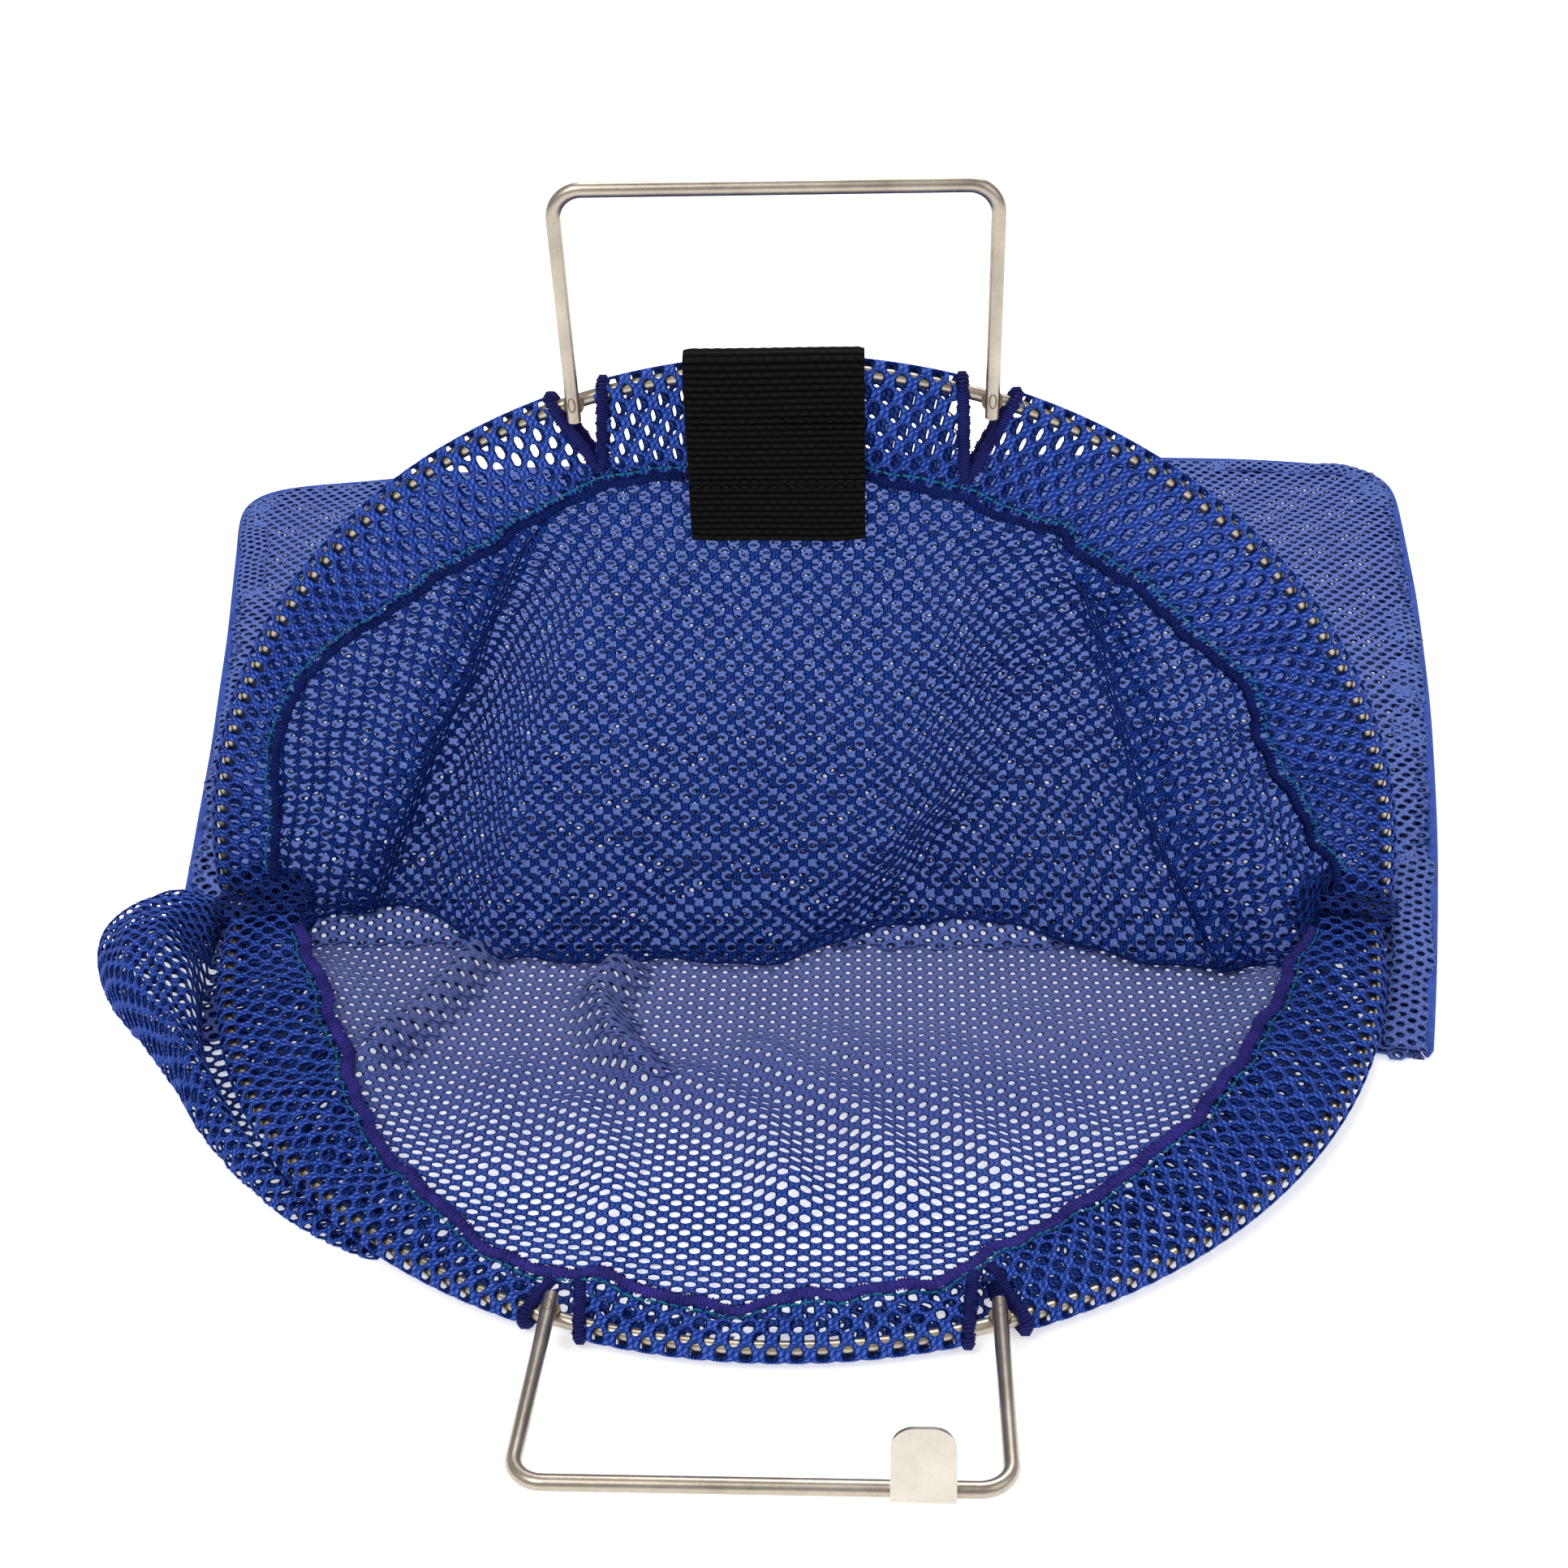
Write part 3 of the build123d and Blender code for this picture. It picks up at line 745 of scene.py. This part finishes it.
def middle_depth(x, z):
    """Depth of the middle panel: it bulges forward and falls back on both sides behind the side panels."""
    y = row(z, -22, -19, -15, -9, -1.5)
    y = y + row(z, 27, 40, 36, 19, 0) * smooth((row(z, -112, -98, -84, -70, -56) - x) / 34 + 0.5)
    y = y + row(z, 20, 40, 36, 19, 0) * smooth((x - row(z, 10, 48, 50, 48, 40)) / 44 + 0.5)
    y = y - row(z, 24, 10, 4, 0, 0) * smooth((x - row(z, 88, 104, 104, 104, 104)) / 50 + 0.5)
    return SEAM_D + (y - SEAM_D + ripples(x, z)) * smooth(to_seam(x, z) / 16)


def side_depth(x, z, plane, from_edge):
    """A side panel comes from its hem near a plane and curls back at its folded edge."""
    curl = 14 * (1 - smooth(from_edge / 6))
    y = plane + ripples(x, z)
    return SEAM_D + (y - SEAM_D) * smooth(to_seam(x, z) / 16) + curl * smooth(to_seam(x, z) / 8)


def left_depth(x, z):
    return side_depth(x, z, row(z, 5, 3, 1, -1, -2), tuck_left(z) - x)


def right_depth(x, z):
    """The right panel stands forward, most of all at the bottom."""
    return side_depth(x, z, row(z, -26, -14, -10, -4, -2), x - tuck_right(z))


def drape(depth, anchor):
    """Surface (u, v) of a hanging panel. u is the length across it, equal to x at the anchor, and v the
    height above the fold at the floor, where it turns under and lies back."""
    zs = np.arange(0, 176, 2.0)
    xs = np.arange(-175, 175.5, 0.5)
    us = np.arange(-260, 261, 1.0)
    table = []
    for z in zs:
        y = depth(xs, z)
        run = run_along(np.stack([xs, y], 1))
        table.append(np.interp(us, run - np.interp(anchor, xs, run) + anchor, xs))
    table = np.array(table)

    def x_at(u, z):
        fz = np.clip(z / 2.0, 0, len(zs) - 1.001)
        fu = np.clip(u - us[0], 0, len(us) - 1.001)
        iz, iu = fz.astype(int), fu.astype(int)
        tz, tu = fz - iz, fu - iu
        low = table[iz, iu] * (1 - tu) + table[iz, iu + 1] * tu
        high = table[iz + 1, iu] * (1 - tu) + table[iz + 1, iu + 1] * tu
        return low * (1 - tz) + high * tz

    def surface(u, v):
        fold_z = LAY_Z + TURN_R
        z = fold_z + v
        x = x_at(u, np.maximum(z, 0))
        bend = np.clip(-v / TURN_R, 0, pi / 2)
        back = np.maximum(-v - TURN_R * pi / 2, 0)
        y = np.where(v < 0, depth(x, fold_z) + TURN_R * (1 - np.cos(bend)) + back, depth(x, z))
        z = np.where(v < 0, LAY_Z + TURN_R * (1 - np.sin(bend)), z)
        return np.stack([x, y - (z - HINGE[2]) * np.tan(TILT), z], -1)
    return surface


def hanging_patches():
    """The middle with an upright knit, and the two sides in front of it with the knit leaning outwards."""
    behind = 15.0     # the middle panel goes on this far behind the folded edges

    def piece(depth, anchor, wanted, u_range, turn):
        surface = drape(depth, anchor)

        def keep(u, v):
            x, _, z = surface(u, v).T
            return (to_seam(x, z) > -3.0) & wanted(x, z)
        return net(surface, u_range, (-18.0, 170.0), keep, (6.2, 3.4), thick=0.6, turn=radians(turn),
                   hole=(0.29, 0.67))

    return [piece(middle_depth, 0.0, lambda x, z: (x > tuck_left(z) - behind) & (x < tuck_right(z) + behind),
                  (-215, 215), 0),
            piece(left_depth, -150.0, lambda x, z: x < tuck_left(z), (-230, -40), 28),
            piece(right_depth, 150.0, lambda x, z: x > tuck_right(z), (40, 230), -30)]


BAG_X, BAG_Y = (-290, 270), (-66, 392)     # the plan of the bag lies within these
LYING_PITCH, FLOOR_PITCH = (6.2, 3.6), (6.6, 2.3)


def lay_height(x, y):
    """Height of the upper cloth where it lies, soft swells over the lower one."""
    swell = (1.1 * np.sin(x / 47 + 0.4) * np.sin(y / 61 + 1.0) + 0.7 * np.sin(x / 23 - y / 35)
             + 0.5 * np.sin(y / 17 + x / 60))
    return LAY_Z + 0.5 + (1.4 + swell) * smooth((y + 10) / 60)


def upper_cloth():
    """The whole upper cloth: it hangs from the upper hem, turns on the floor and lies to the closed end."""
    def lying(u, v):
        return np.stack([u, v, lay_height(u, v)], -1)

    def keep(u, v):
        fold = middle_depth(np.clip(u, -150, 150), LAY_Z) + TURN_R + 3
        left_front = (u < -186) & (v < -20)
        return inside(u, v, CLOTH_EDGE) & ((v > fold) | (np.hypot(u, v) > UP.r - 8)) & ~left_front

    patches = hanging_patches()
    patches.append(net(lying, BAG_X, BAG_Y, keep, LYING_PITCH, thick=0.7, rich=False, hole=(0.15, 0.35)))
    # hanging panels: the darker knit, painted shade; the lying part: the paler knit, painted light
    obj, area = net_object("upper_cloth", patches, KNIT_HANGING_SHADED, KNIT_PALE_LIT, among=(3,))
    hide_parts("hanging_panel", "upper_panel")
    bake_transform(obj)


# folds of the floor cloth in the mouth: points on the plan, height and width; the first two stand up
FLOOR_RIDGES = [
    ([(-98, -4), (-112, -40), (-132, -84)], 10.0, 6.0),
    ([(-52, -14), (-62, -42), (-54, -64), (-34, -88)], 12.0, 6.5),
    ([(-40, -66), (-8, -96), (8, -140)], 6.0, 8.0),
    ([(-22, -52), (22, -92), (42, -138)], 6.5, 8.0),
    ([(0, -46), (44, -82), (72, -128)], 5.0, 8.0),
    ([(30, -48), (66, -76), (98, -108)], 3.5, 8.0),
    ([(-70, -78), (-52, -108), (-44, -144)], 4.0, 8.0),
    ([(-84, -60), (-86, -100), (-80, -128)], 3.0, 9.0),
    ([(60, -36), (92, -56), (118, -78)], 2.5, 7.0),
]


FLOOR_Z = 0.75     # height of the lower cloth where it lies flat


def floor_height(x, y):
    """Height of the lower cloth: ripples inside the mouth, lifted to the lower hem at the front."""
    z = np.full(np.broadcast(x, y).shape, FLOOR_Z)
    for points, height, width in FLOOR_RIDGES:
        z = z + ridge(x, y, points, height, width)
    plane = HINGE[2] - np.maximum(-y, 0) * np.tan(TILT)
    to_rim = seam_radius(LOW, np.arctan2(np.maximum(-y, 0), -x)) - np.hypot(x, y)
    lift = (1 - smooth(to_rim / 24)) * smooth(1 + (to_rim + 3) / 9) * smooth((-y - 6) / 30)
    return z + (plane - FLOOR_Z - 2.2) * lift


def lower_cloth():
    """The whole lower cloth: the floor of the mouth, and under the upper cloth to the closed end."""
    def surface(u, v):
        return np.stack([u, v, floor_height(u, v)], -1)

    def in_mouth(u, v):
        return (np.hypot(u, v) < LOW.r - 4) & (v < -4)

    def under(u, v):
        """The rear part lies close under the upper cloth. Its knit is shifted and turned against that one."""
        x, y = u + 3.0, v + 1.2
        high = np.maximum(floor_height(x, y), lay_height(x, y) - 1.5 * smooth((y - 10) / 20) - 1.4)
        return np.stack([x, y, high], -1)

    def behind(u, v):
        x, y = u + 3.0, v + 1.2
        return inside(x, y, CLOTH_EDGE) & ((y >= -8) | ((np.hypot(x, y) > LOW.r + 2) & (x > 0)))

    def openness(u, v):
        """The holes close towards the rear, where the photo loses them."""
        return 1.0 - 0.48 * smooth((v + 125) / 65)

    def doubled(u, v):
        """A fold presses two layers together along the standing ridges, so the knit is denser there."""
        x, y = u + 3.0, v + 1.6
        return np.stack([x, y, floor_height(x, y) + 0.9], -1)

    def on_fold(u, v):
        near = sum(ridge(u, v, points, 1.0, width) for points, _, width in FLOOR_RIDGES[:2])
        return near > 0.45

    patches = [net(surface, (-172, 172), (-176, 0), in_mouth, FLOOR_PITCH, thick=0.55, openness=openness),
               net(under, BAG_X, BAG_Y, behind, LYING_PITCH, thick=0.7, rich=False, hole=(0.14, 0.33),
                   turn=radians(13)),
               net(doubled, (-172, 0), (-110, 0), on_fold, FLOOR_PITCH, thick=0.55, hole=(0.15, 0.36))]
    # floor of the mouth: the knit with painted shade at its rear; the part under the upper cloth: the paler knit,
    # painted light
    obj, area = net_object("lower_cloth", patches, KNIT_FLOOR_SHADED, KNIT_PALE_LIT, among=(1,))
    place(obj, ROOT, "mesh", "lower_panel")


# ---- seam round the closed end
def closed_seam():
    """Folded seam: the cloth wraps round the edge, so two more layers lie over the panels."""
    path = resample(EDGE, 1.0)
    run = run_along(path)
    tangent = unit(soften(np.gradient(path, axis=0), np.hanning(21)))
    inward = np.stack([-tangent[:, 1], tangent[:, 0]], 1)
    section = resample([(-SEAM_W, 2.9), (-8, 3.4), (-3, 3.3), (-0.8, 2.6), (-0.2, 1.6), (-0.8, 0.8),
                        (-3, 0.5), (-8, 0.45), (-SEAM_W, 0.45)], 0.4)
    s_run = run_along(section)

    def surface(u, v):
        x, y = columns_at(u, run, path).T
        nx, ny = columns_at(u, run, inward).T
        off, z = columns_at(v, s_run, section).T
        off = -off + 0.6 * np.sin(u / 9.0) + 0.4 * np.sin(u / 4.3)
        z = z + np.where(z > 1.5, 0.5 * np.sin(u / 7.0) + 0.8 * np.sin(u / 31.0) + 0.5, 0)
        return np.stack([x + nx * off, y + ny * off, z], -1)

    def keep(u, v):
        p = surface(u, v)
        return ~((p[:, 0] < 0) & (p[:, 1] < -5)) & (np.interp(v, s_run, section[:, 0]) < -2.2)

    patch = net(surface, (0, run[-1]), (0.5, s_run[-1] - 0.5), keep, (5.0, 3.2), rich=False,
                hole=(0.13, 0.32))
    # the rear seam takes the paler knit, painted light
    obj, area = net_object("closed_end_fold", [patch], KNIT_PALE_LIT)
    place(obj, ROOT, "mesh", "closed_end_seam")
    cord = resample([(x, y, 1.9) for x, y in inset(EDGE, 0.9) if x > 0 or y > 6], 3.0)
    cord[:, 2] += 0.3 * np.sin(np.arange(len(cord)) / 5.0)
    place(make_mesh("closed_end_edge", *tube_mesh([cord], 1.9, 10, (0, 0, 1)), EDGE_CORD), ROOT, "mesh")


# ---- loose fold left of the ring
# by degrees round the ring: outer radius, height, and inner radius measured from the upper ring's
FOLD_A = [-5, -1, 4, 10, 17, 23, 31, 40, 48, 54]
FOLD_OUT = [206, 221, 229, 223, 210, 203, 199, 195, 191, 187]
FOLD_HIGH = [1.5, 11, 21, 25, 21, 15, 8, 4, 2, 1]
FOLD_IN = [4, 4, 4, 4, 4, 3, 0, -3, -7, -11]
FOLD_TONGUE, FOLD_HEM = 15.0, 7.0    # the cloth starts under the ring, and turns under at its outer edge


def left_fold():
    """Loose belly of cloth that swells up outside the left of the ring and runs out under the lower hem."""
    arc_r = 205.0

    def shape(u, shrink):
        """Inner radius, half width, height and length across at a length along the fold."""
        a = np.degrees(u / arc_r)
        outer = curve(a, FOLD_A, FOLD_OUT) - shrink
        high = np.maximum(curve(a, FOLD_A, FOLD_HIGH) - shrink, 0.4)
        inner = UP.r + curve(a, FOLD_A, FOLD_IN)
        half = np.maximum((outer - inner) / 2, 0.3)
        return inner, half, high, pi * np.sqrt((half**2 + high**2) / 2)

    def layer(shrink):
        def surface(u, v):
            inner, half, high, length = shape(u, shrink)
            t = pi * (1 - np.clip((v - FOLD_TONGUE) / length, 0.0, 1.0))
            wave = (2.0 * np.sin(u / 7.5 + 2.6 * np.sin(t)) + 1.3 * np.sin(u / 15.0 - 3 * t)
                    + 0.8 * np.sin(9 * t + u / 11))
            wave = wave * np.sin(t) ** 0.7 * smooth(high / 15)
            r = inner + half + (half + 0.4 * wave) * np.cos(t)
            r = r - np.maximum(FOLD_TONGUE - v, 0) - np.maximum(v - FOLD_TONGUE - length, 0)
            under = smooth((v - FOLD_TONGUE - length) / 2)
            z = 1.3 + (high + wave) * np.sin(t) ** 0.8 - 0.9 * under
            b = u / arc_r
            return np.stack([-r * np.cos(b), -r * np.sin(b), z], -1)
        return surface

    def on_cloth(shrink):
        def keep(u, v):
            return v < shape(u, shrink)[3] + FOLD_TONGUE + FOLD_HEM
        return keep

    span_u = (radians(FOLD_A[0] + 1) * arc_r, radians(FOLD_A[-1] - 1) * arc_r)
    patches = [net(layer(shrink), span_u, (0, 100), on_cloth(shrink), (6.1, 3.6), thick=0.7, rich=rich)
               for shrink, rich in ((0.0, True), (2.2, False))]
    obj, area = net_object("left_belly_fold", patches, KNIT)
    place(obj, ROOT, "mesh", "left_fold")


# ---- bunched cloth at the hinges
def gather(side):
    """Pleated cloth drawn together over a hinge. It hides the rivet and the gap between the two hems."""
    name = "left" if side < 0 else "right"
    outer = max(abs(v) for v in np.array(box_mm(f"{name}_rivet"))[:, 0]) + 1.2
    long, around = 32.0, 80.0

    def surface(u, v):
        t = 2 * pi * u / around
        k = v / long
        body = np.interp(k, [0, 0.04, 0.14, 0.35, 0.6, 0.85, 1], [2.5, 5.4, 6.3, 7.4, 8.0, 6.5, 3.0])
        pleat = 1 + smooth(k * 6) * (0.20 * np.sin(7 * t + 2.2 * k + side) + 0.09 * np.sin(13 * t - 4 * k))
        r = body * pleat
        x = side * (outer - long * k + 0.8 * np.sin(5 * t) * smooth(k * 6))
        tall = 1 + 0.5 * smooth(k * 3)
        z = np.maximum(HINGE[2] + 1.5 * k + tall * r * np.sin(t), 0.6 + 0.2 * pleat)
        return np.stack([x, -1.5 * smooth(k * 3) + r * np.cos(t), z], -1)

    def everything(u, v):
        return np.ones(u.shape, bool)

    patch = net(surface, (0, around), (0, long), everything, (4.4, 3.0), hole=(0.14, 0.34))
    # the bunch takes the darker knit, painted shade round the hinge
    obj, area = net_object(f"{name}_hinge_bunch", [patch], KNIT_BUNCH_SHADED)
    place(obj, ROOT, "mesh", f"{name}_gather")


# ---- overlock, bindings and stitches
def overlock(path, normal, width, pitch, thread, lift):
    """Zigzag of thread over an edge: (verts, quads). path and normal are rows of points."""
    run = run_along(path)
    count = int(run[-1] / pitch)
    s = np.linspace(0, run[-1], count * 6 + 1)
    at, nrm = columns_at(s, run, path), unit(columns_at(s, run, normal))
    across = np.cross(nrm, unit(np.gradient(at, axis=0)))
    phase = np.linspace(0, count * 2 * pi, len(s))
    jitter = 1 + 0.12 * np.sin(s * 1.7) + 0.08 * np.sin(s * 4.1)
    swing, rise = width / 2 * np.cos(phase) * jitter, lift * np.sin(phase)
    return tube_mesh([at + across * swing[:, None] + nrm * rise[:, None]], thread, 6, (0.31, -0.62, 0.72))


def merge(parts):
    verts, faces, base = [], [], 0
    for v, f in parts:
        verts.append(v)
        faces.append(f + base)
        base += len(v)
    return np.concatenate(verts), np.concatenate(faces)


STITCH_IN, STITCH_LEN = 4.6, 3.3     # of the teal stitches: distance from the seam's line, and pitch


def hem_edging(hoop, label, body, phase, thread, wide):
    """Overlock along the seam, and the teal stitch line beside it."""
    angle = np.linspace(radians(5), radians(175), 500)
    path = hem_point(hoop, angle, seam_s(hoop, angle) + EDGE_IN, phase) + hoop.n * 0.9
    normal = np.broadcast_to(hoop.n, path.shape)
    parts = [overlock(path, normal, wide, 0.85, 0.38, 0.5),
             overlock(path + hoop.n * 0.25, normal, 0.7 * wide, 1.5, 0.32, 0.6),
             tube_mesh([path], 0.36 * wide, 10, hoop.n, squash=0.5)]
    place(make_mesh(f"{label}_overlock", *merge(parts), thread), body, "edging", f"{label}_edging")
    stitches = []
    step = STITCH_LEN / hoop.r
    for a in np.arange(radians(6), radians(174), step):
        t = np.linspace(a, a + step * 0.84, 6)
        line = hem_point(hoop, t, seam_s(hoop, t) + STITCH_IN, phase)
        dip = np.sin(np.linspace(0, pi, 6)) * 0.5
        stitches.append(line + hoop.n * (0.45 + dip[:, None]))
    place(make_mesh(f"{label}_hem_stitches", *tube_mesh(stitches, 0.33, 6, hoop.n), TEAL), body, "thread")


def notch_bindings(hoop, label, body, phase):
    """Bound raw edges of the V cuts: up the inner leaf, over the wire and down the outer leaf."""
    s = np.linspace(4.0, HEM_LEN - 4.0, 150)
    out = np.interp(s, SECTION_S, SECTION[:, 0])
    parts = []
    for side in (-1, 1):
        for which in (0, 1):
            y = hoop.leg_y + out * 0.98 * np.sqrt(1 - (HALF_HANDLE / hoop.r) ** 2)
            for _ in range(2):      # settles on the cut's side at the radius of each point of the section
                x = v_sides(hoop, side, y)[which]
                y = np.sqrt(np.maximum((hoop.r + out) ** 2 - x**2, 1.0))
            ang = np.arctan2(y, x)
            ok = (y > hoop.leg_y - V_DEEP + 0.5) & (hoop.r + out > seam_radius(hoop, ang) + 1)
            line = hem_point(hoop, ang, s, phase)[ok]
            nrm = unit(np.cross(np.gradient(line, axis=0), hoop.x))
            parts.append(tube_mesh([line], 1.2, 8, (0.2, -0.6, 0.75)))
            parts.append(overlock(line, nrm, 2.9, 0.8, 0.40, 1.4))
    place(make_mesh(f"{label}_v_binding", *merge(parts), BINDING), body, "edging", f"{label}_notch_binding")


# ---- webbing
RIB, WARP = 1.9, 0.8       # pitch of the webbing's ribs, and half the width of a warp thread


def webbing():
    """Ribbed webbing folded over the upper hoop, sewn through below the wire."""
    low, high = box_mm("webbing_tab")
    x0, x1 = low[0], high[0]
    top = UP.r + 5.6
    inner_low, outer_low = UP.r - 51, UP.r - 40
    front = [(inner_low, 6.2), (UP.r - 36, 5.8), (UP.r - 20, 5.2), (UP.r - 8, 5.0), (UP.r, 4.4)]
    crown = [(UP.r + 3.4, 3.2), (UP.r + 4.6, 0.6), (UP.r + 4.2, -2.0), (UP.r + 1.8, -4.0)]
    rear = [(UP.r - 6, -4.8), (UP.r - 20, -4.8), (outer_low, -3.8)]
    path = soften(resample(front + crown + rear, 0.33), np.hanning(15))
    run = run_along(path)
    xs = np.linspace(x0, x1, 63)
    sag = 0.35 * np.sin(xs / 9)[None, :] * np.cos(run / 14)[:, None]
    curl = 1.2 * smooth((np.abs(xs - (x0 + x1) / 2) - 18) / 7)[None, :] * smooth((8 - run) / 8)[:, None]
    points = UP.flat(xs[None, :], path[:, :1], path[:, 1:] + sag - curl)
    normal = grid_normals(points)
    inward = np.sign(np.sum(normal[5, 30] * UP.n))
    normal = normal * inward
    rib = np.abs(np.sin(pi * run / RIB))[:, None] ** 0.8
    phase = np.where(np.floor(run / RIB).astype(int) % 2 == 0, 1, -1)
    weave = phase[:, None] * np.cos(xs / WARP * pi / 2)[None, :]
    relief = 0.42 * rib * (1 + 0.16 * weave)
    selvage = smooth((xs - x0) / 1.6) * smooth((x1 - xs) / 1.6)
    thick = (0.75 + relief * 2) * (0.45 + 0.55 * selvage)[None, :]
    verts, faces = shell_grid(points, thick[..., None], normal)
    faces = faces if inward > 0 else faces[:, ::-1]
    # crest values carried to the material, where they paint a highlight on the ribs
    crest = np.broadcast_to(rib * (1 + 0.16 * weave), thick.shape).ravel()
    uvs = np.stack([np.tile(crest, 2)[faces], np.zeros(faces.shape)], -1)
    obj = make_mesh("webbing_fold", verts, faces, WEBBING, uvs)
    place(obj, UPPER, "webbing", "webbing_tab")
    stitches = []
    for share in (0.36, 0.68):
        for shift in (-0.8, 0.8):
            at = (top - inner_low) * (1 - share) + shift
            y_row, n_row = np.interp(at, run, path[:, 0]), np.interp(at, run, path[:, 1])
            for x in np.arange(x0 + 1.5, x1 - 2.5, 2.7):
                t = np.linspace(0, 1, 6)
                stitches.append(UP.flat(x + 2.1 * t, y_row, n_row + 0.75 + 0.45 * np.sin(pi * t)))
    obj = make_mesh("webbing_stitches", *tube_mesh(stitches, 0.32, 6, UP.n), BLACK_THREAD)
    place(obj, UPPER, "thread", "webbing_stitching")


# ---- steel
def weld_marks(hoop, label, body, cant):
    """Oval burn marks that the spot welds leave on the open side of the handle legs."""
    along = hoop.y * cos(radians(cant)) + hoop.n * sin(radians(cant))
    out = hoop.n * cos(radians(cant)) - hoop.y * sin(radians(cant))
    t = np.linspace(0, 2 * pi, 33)
    around = 0.45 * np.sin(t)
    lines = []
    for side in (-1, 1):
        leg = hoop.flat(side * HALF_HANDLE, hoop.leg_y, 2 * ROD_R + 0.05)
        lines.append(leg + (0.9 + 2.1 * np.cos(t))[:, None] * along
                     + ROD_R * (np.cos(around)[:, None] * out + np.sin(around)[:, None] * hoop.x))
    place(make_mesh(f"{label}_weld_marks", *tube_mesh(lines, 0.22, 6, out), WELD), body, "steel")


def steel_parts():
    """Steel on the CAD nodes whose slot in the record is a steel one."""
    slots = {item["node"]: item["material_slot"] for item in frame["record"]["subparts"]}
    special = {"latch": PLATE, "upper_welds": WELD, "lower_welds": WELD}
    for name, obj in frame["nodes"].items():
        if slots.get(name) in ("steel", "latch_steel"):
            obj.data.materials.clear()
            obj.data.materials.append(special.get(name, WIRE))


# ---- build
UPPER_HEM = (UP, "upper", UPPER, 0.3)       # the last value is the phase of the puckers
LOWER_HEM = (LOW, "lower", ROOT, 1.7)
UPPER_CANT, LOWER_CANT = 4.0, 10.0      # degrees that the handles lean from the planes of their hoops
build_hems(*UPPER_HEM)
build_hems(*LOWER_HEM)
hem_edging(*UPPER_HEM, OVERLOCK_NAVY, 2.4)
hem_edging(*LOWER_HEM, VIOLET, 3.5)
notch_bindings(*UPPER_HEM)
notch_bindings(*LOWER_HEM)
webbing()
lower_cloth()
upper_cloth()
closed_seam()
left_fold()
gather(-1)
gather(1)
steel_parts()
weld_marks(UP, "upper", UPPER, UPPER_CANT)
weld_marks(LOW, "lower", ROOT, LOWER_CANT)


# ---- floor, light and camera
def stage_floor():
    half = 4.0
    corners = [(-half, -half, 0), (half, -half, 0), (half, half, 0), (-half, half, 0)]
    me = bpy.data.meshes.new("floor")
    me.from_pydata(corners, [], [(0, 1, 2, 3)])
    me.materials.append(floor_material())
    add_object("floor", me)


def area_light(name, at, target, size, watts):
    data = bpy.data.lights.new(name, "AREA")
    data.size = size
    data.energy = watts
    obj = add_object(name, data)
    obj.location = at
    obj.rotation_euler = (Vector(target) - Vector(at)).to_track_quat("-Z", "Y").to_euler()


def studio():
    world = bpy.data.worlds.new("studio")
    world.use_nodes = True
    back = world.node_tree.nodes["Background"]
    feed(world.node_tree, back, {"Color": (1, 1, 1, 1), "Strength": 0.42})
    bpy.context.scene.world = world
    area_light("key", (-0.7, -0.9, 1.5), (0, 0, 0.05), 0.9, 12)
    area_light("fill", (1.2, -0.7, 1.1), (0, 0, 0.05), 1.2, 5)
    area_light("rear", (0.15, 1.0, 1.35), (0, 0.22, 0), 1.0, 16)


def camera():
    """The photograph's viewpoint, from the camera fitted to the ring, the handles and the bag's outline."""
    focal, photo_wide = 2545, 1932     # in pixels of the photo
    place_m = Vector((29.8, -550.7, 406.7)) * MM
    down, ahead = Vector((0.0001, -0.5333, -0.8459)), Vector((-0.0509, 0.8448, -0.5326))
    data = bpy.data.cameras.new("photo")
    data.sensor_width = 36
    data.lens = 36 * focal / photo_wide
    data.clip_start, data.clip_end = 0.05, 20
    obj = add_object("photo", data)
    back = -ahead.normalized()
    up = (-down - back * (-down).dot(back)).normalized()
    side = up.cross(back)
    turn = Matrix((side, up, back)).transposed().to_4x4()
    obj.matrix_world = Matrix.Translation(place_m) @ turn
    bpy.context.scene.camera = obj


stage_floor()
studio()
camera()
bpy.context.scene.view_settings.view_transform = "Standard"
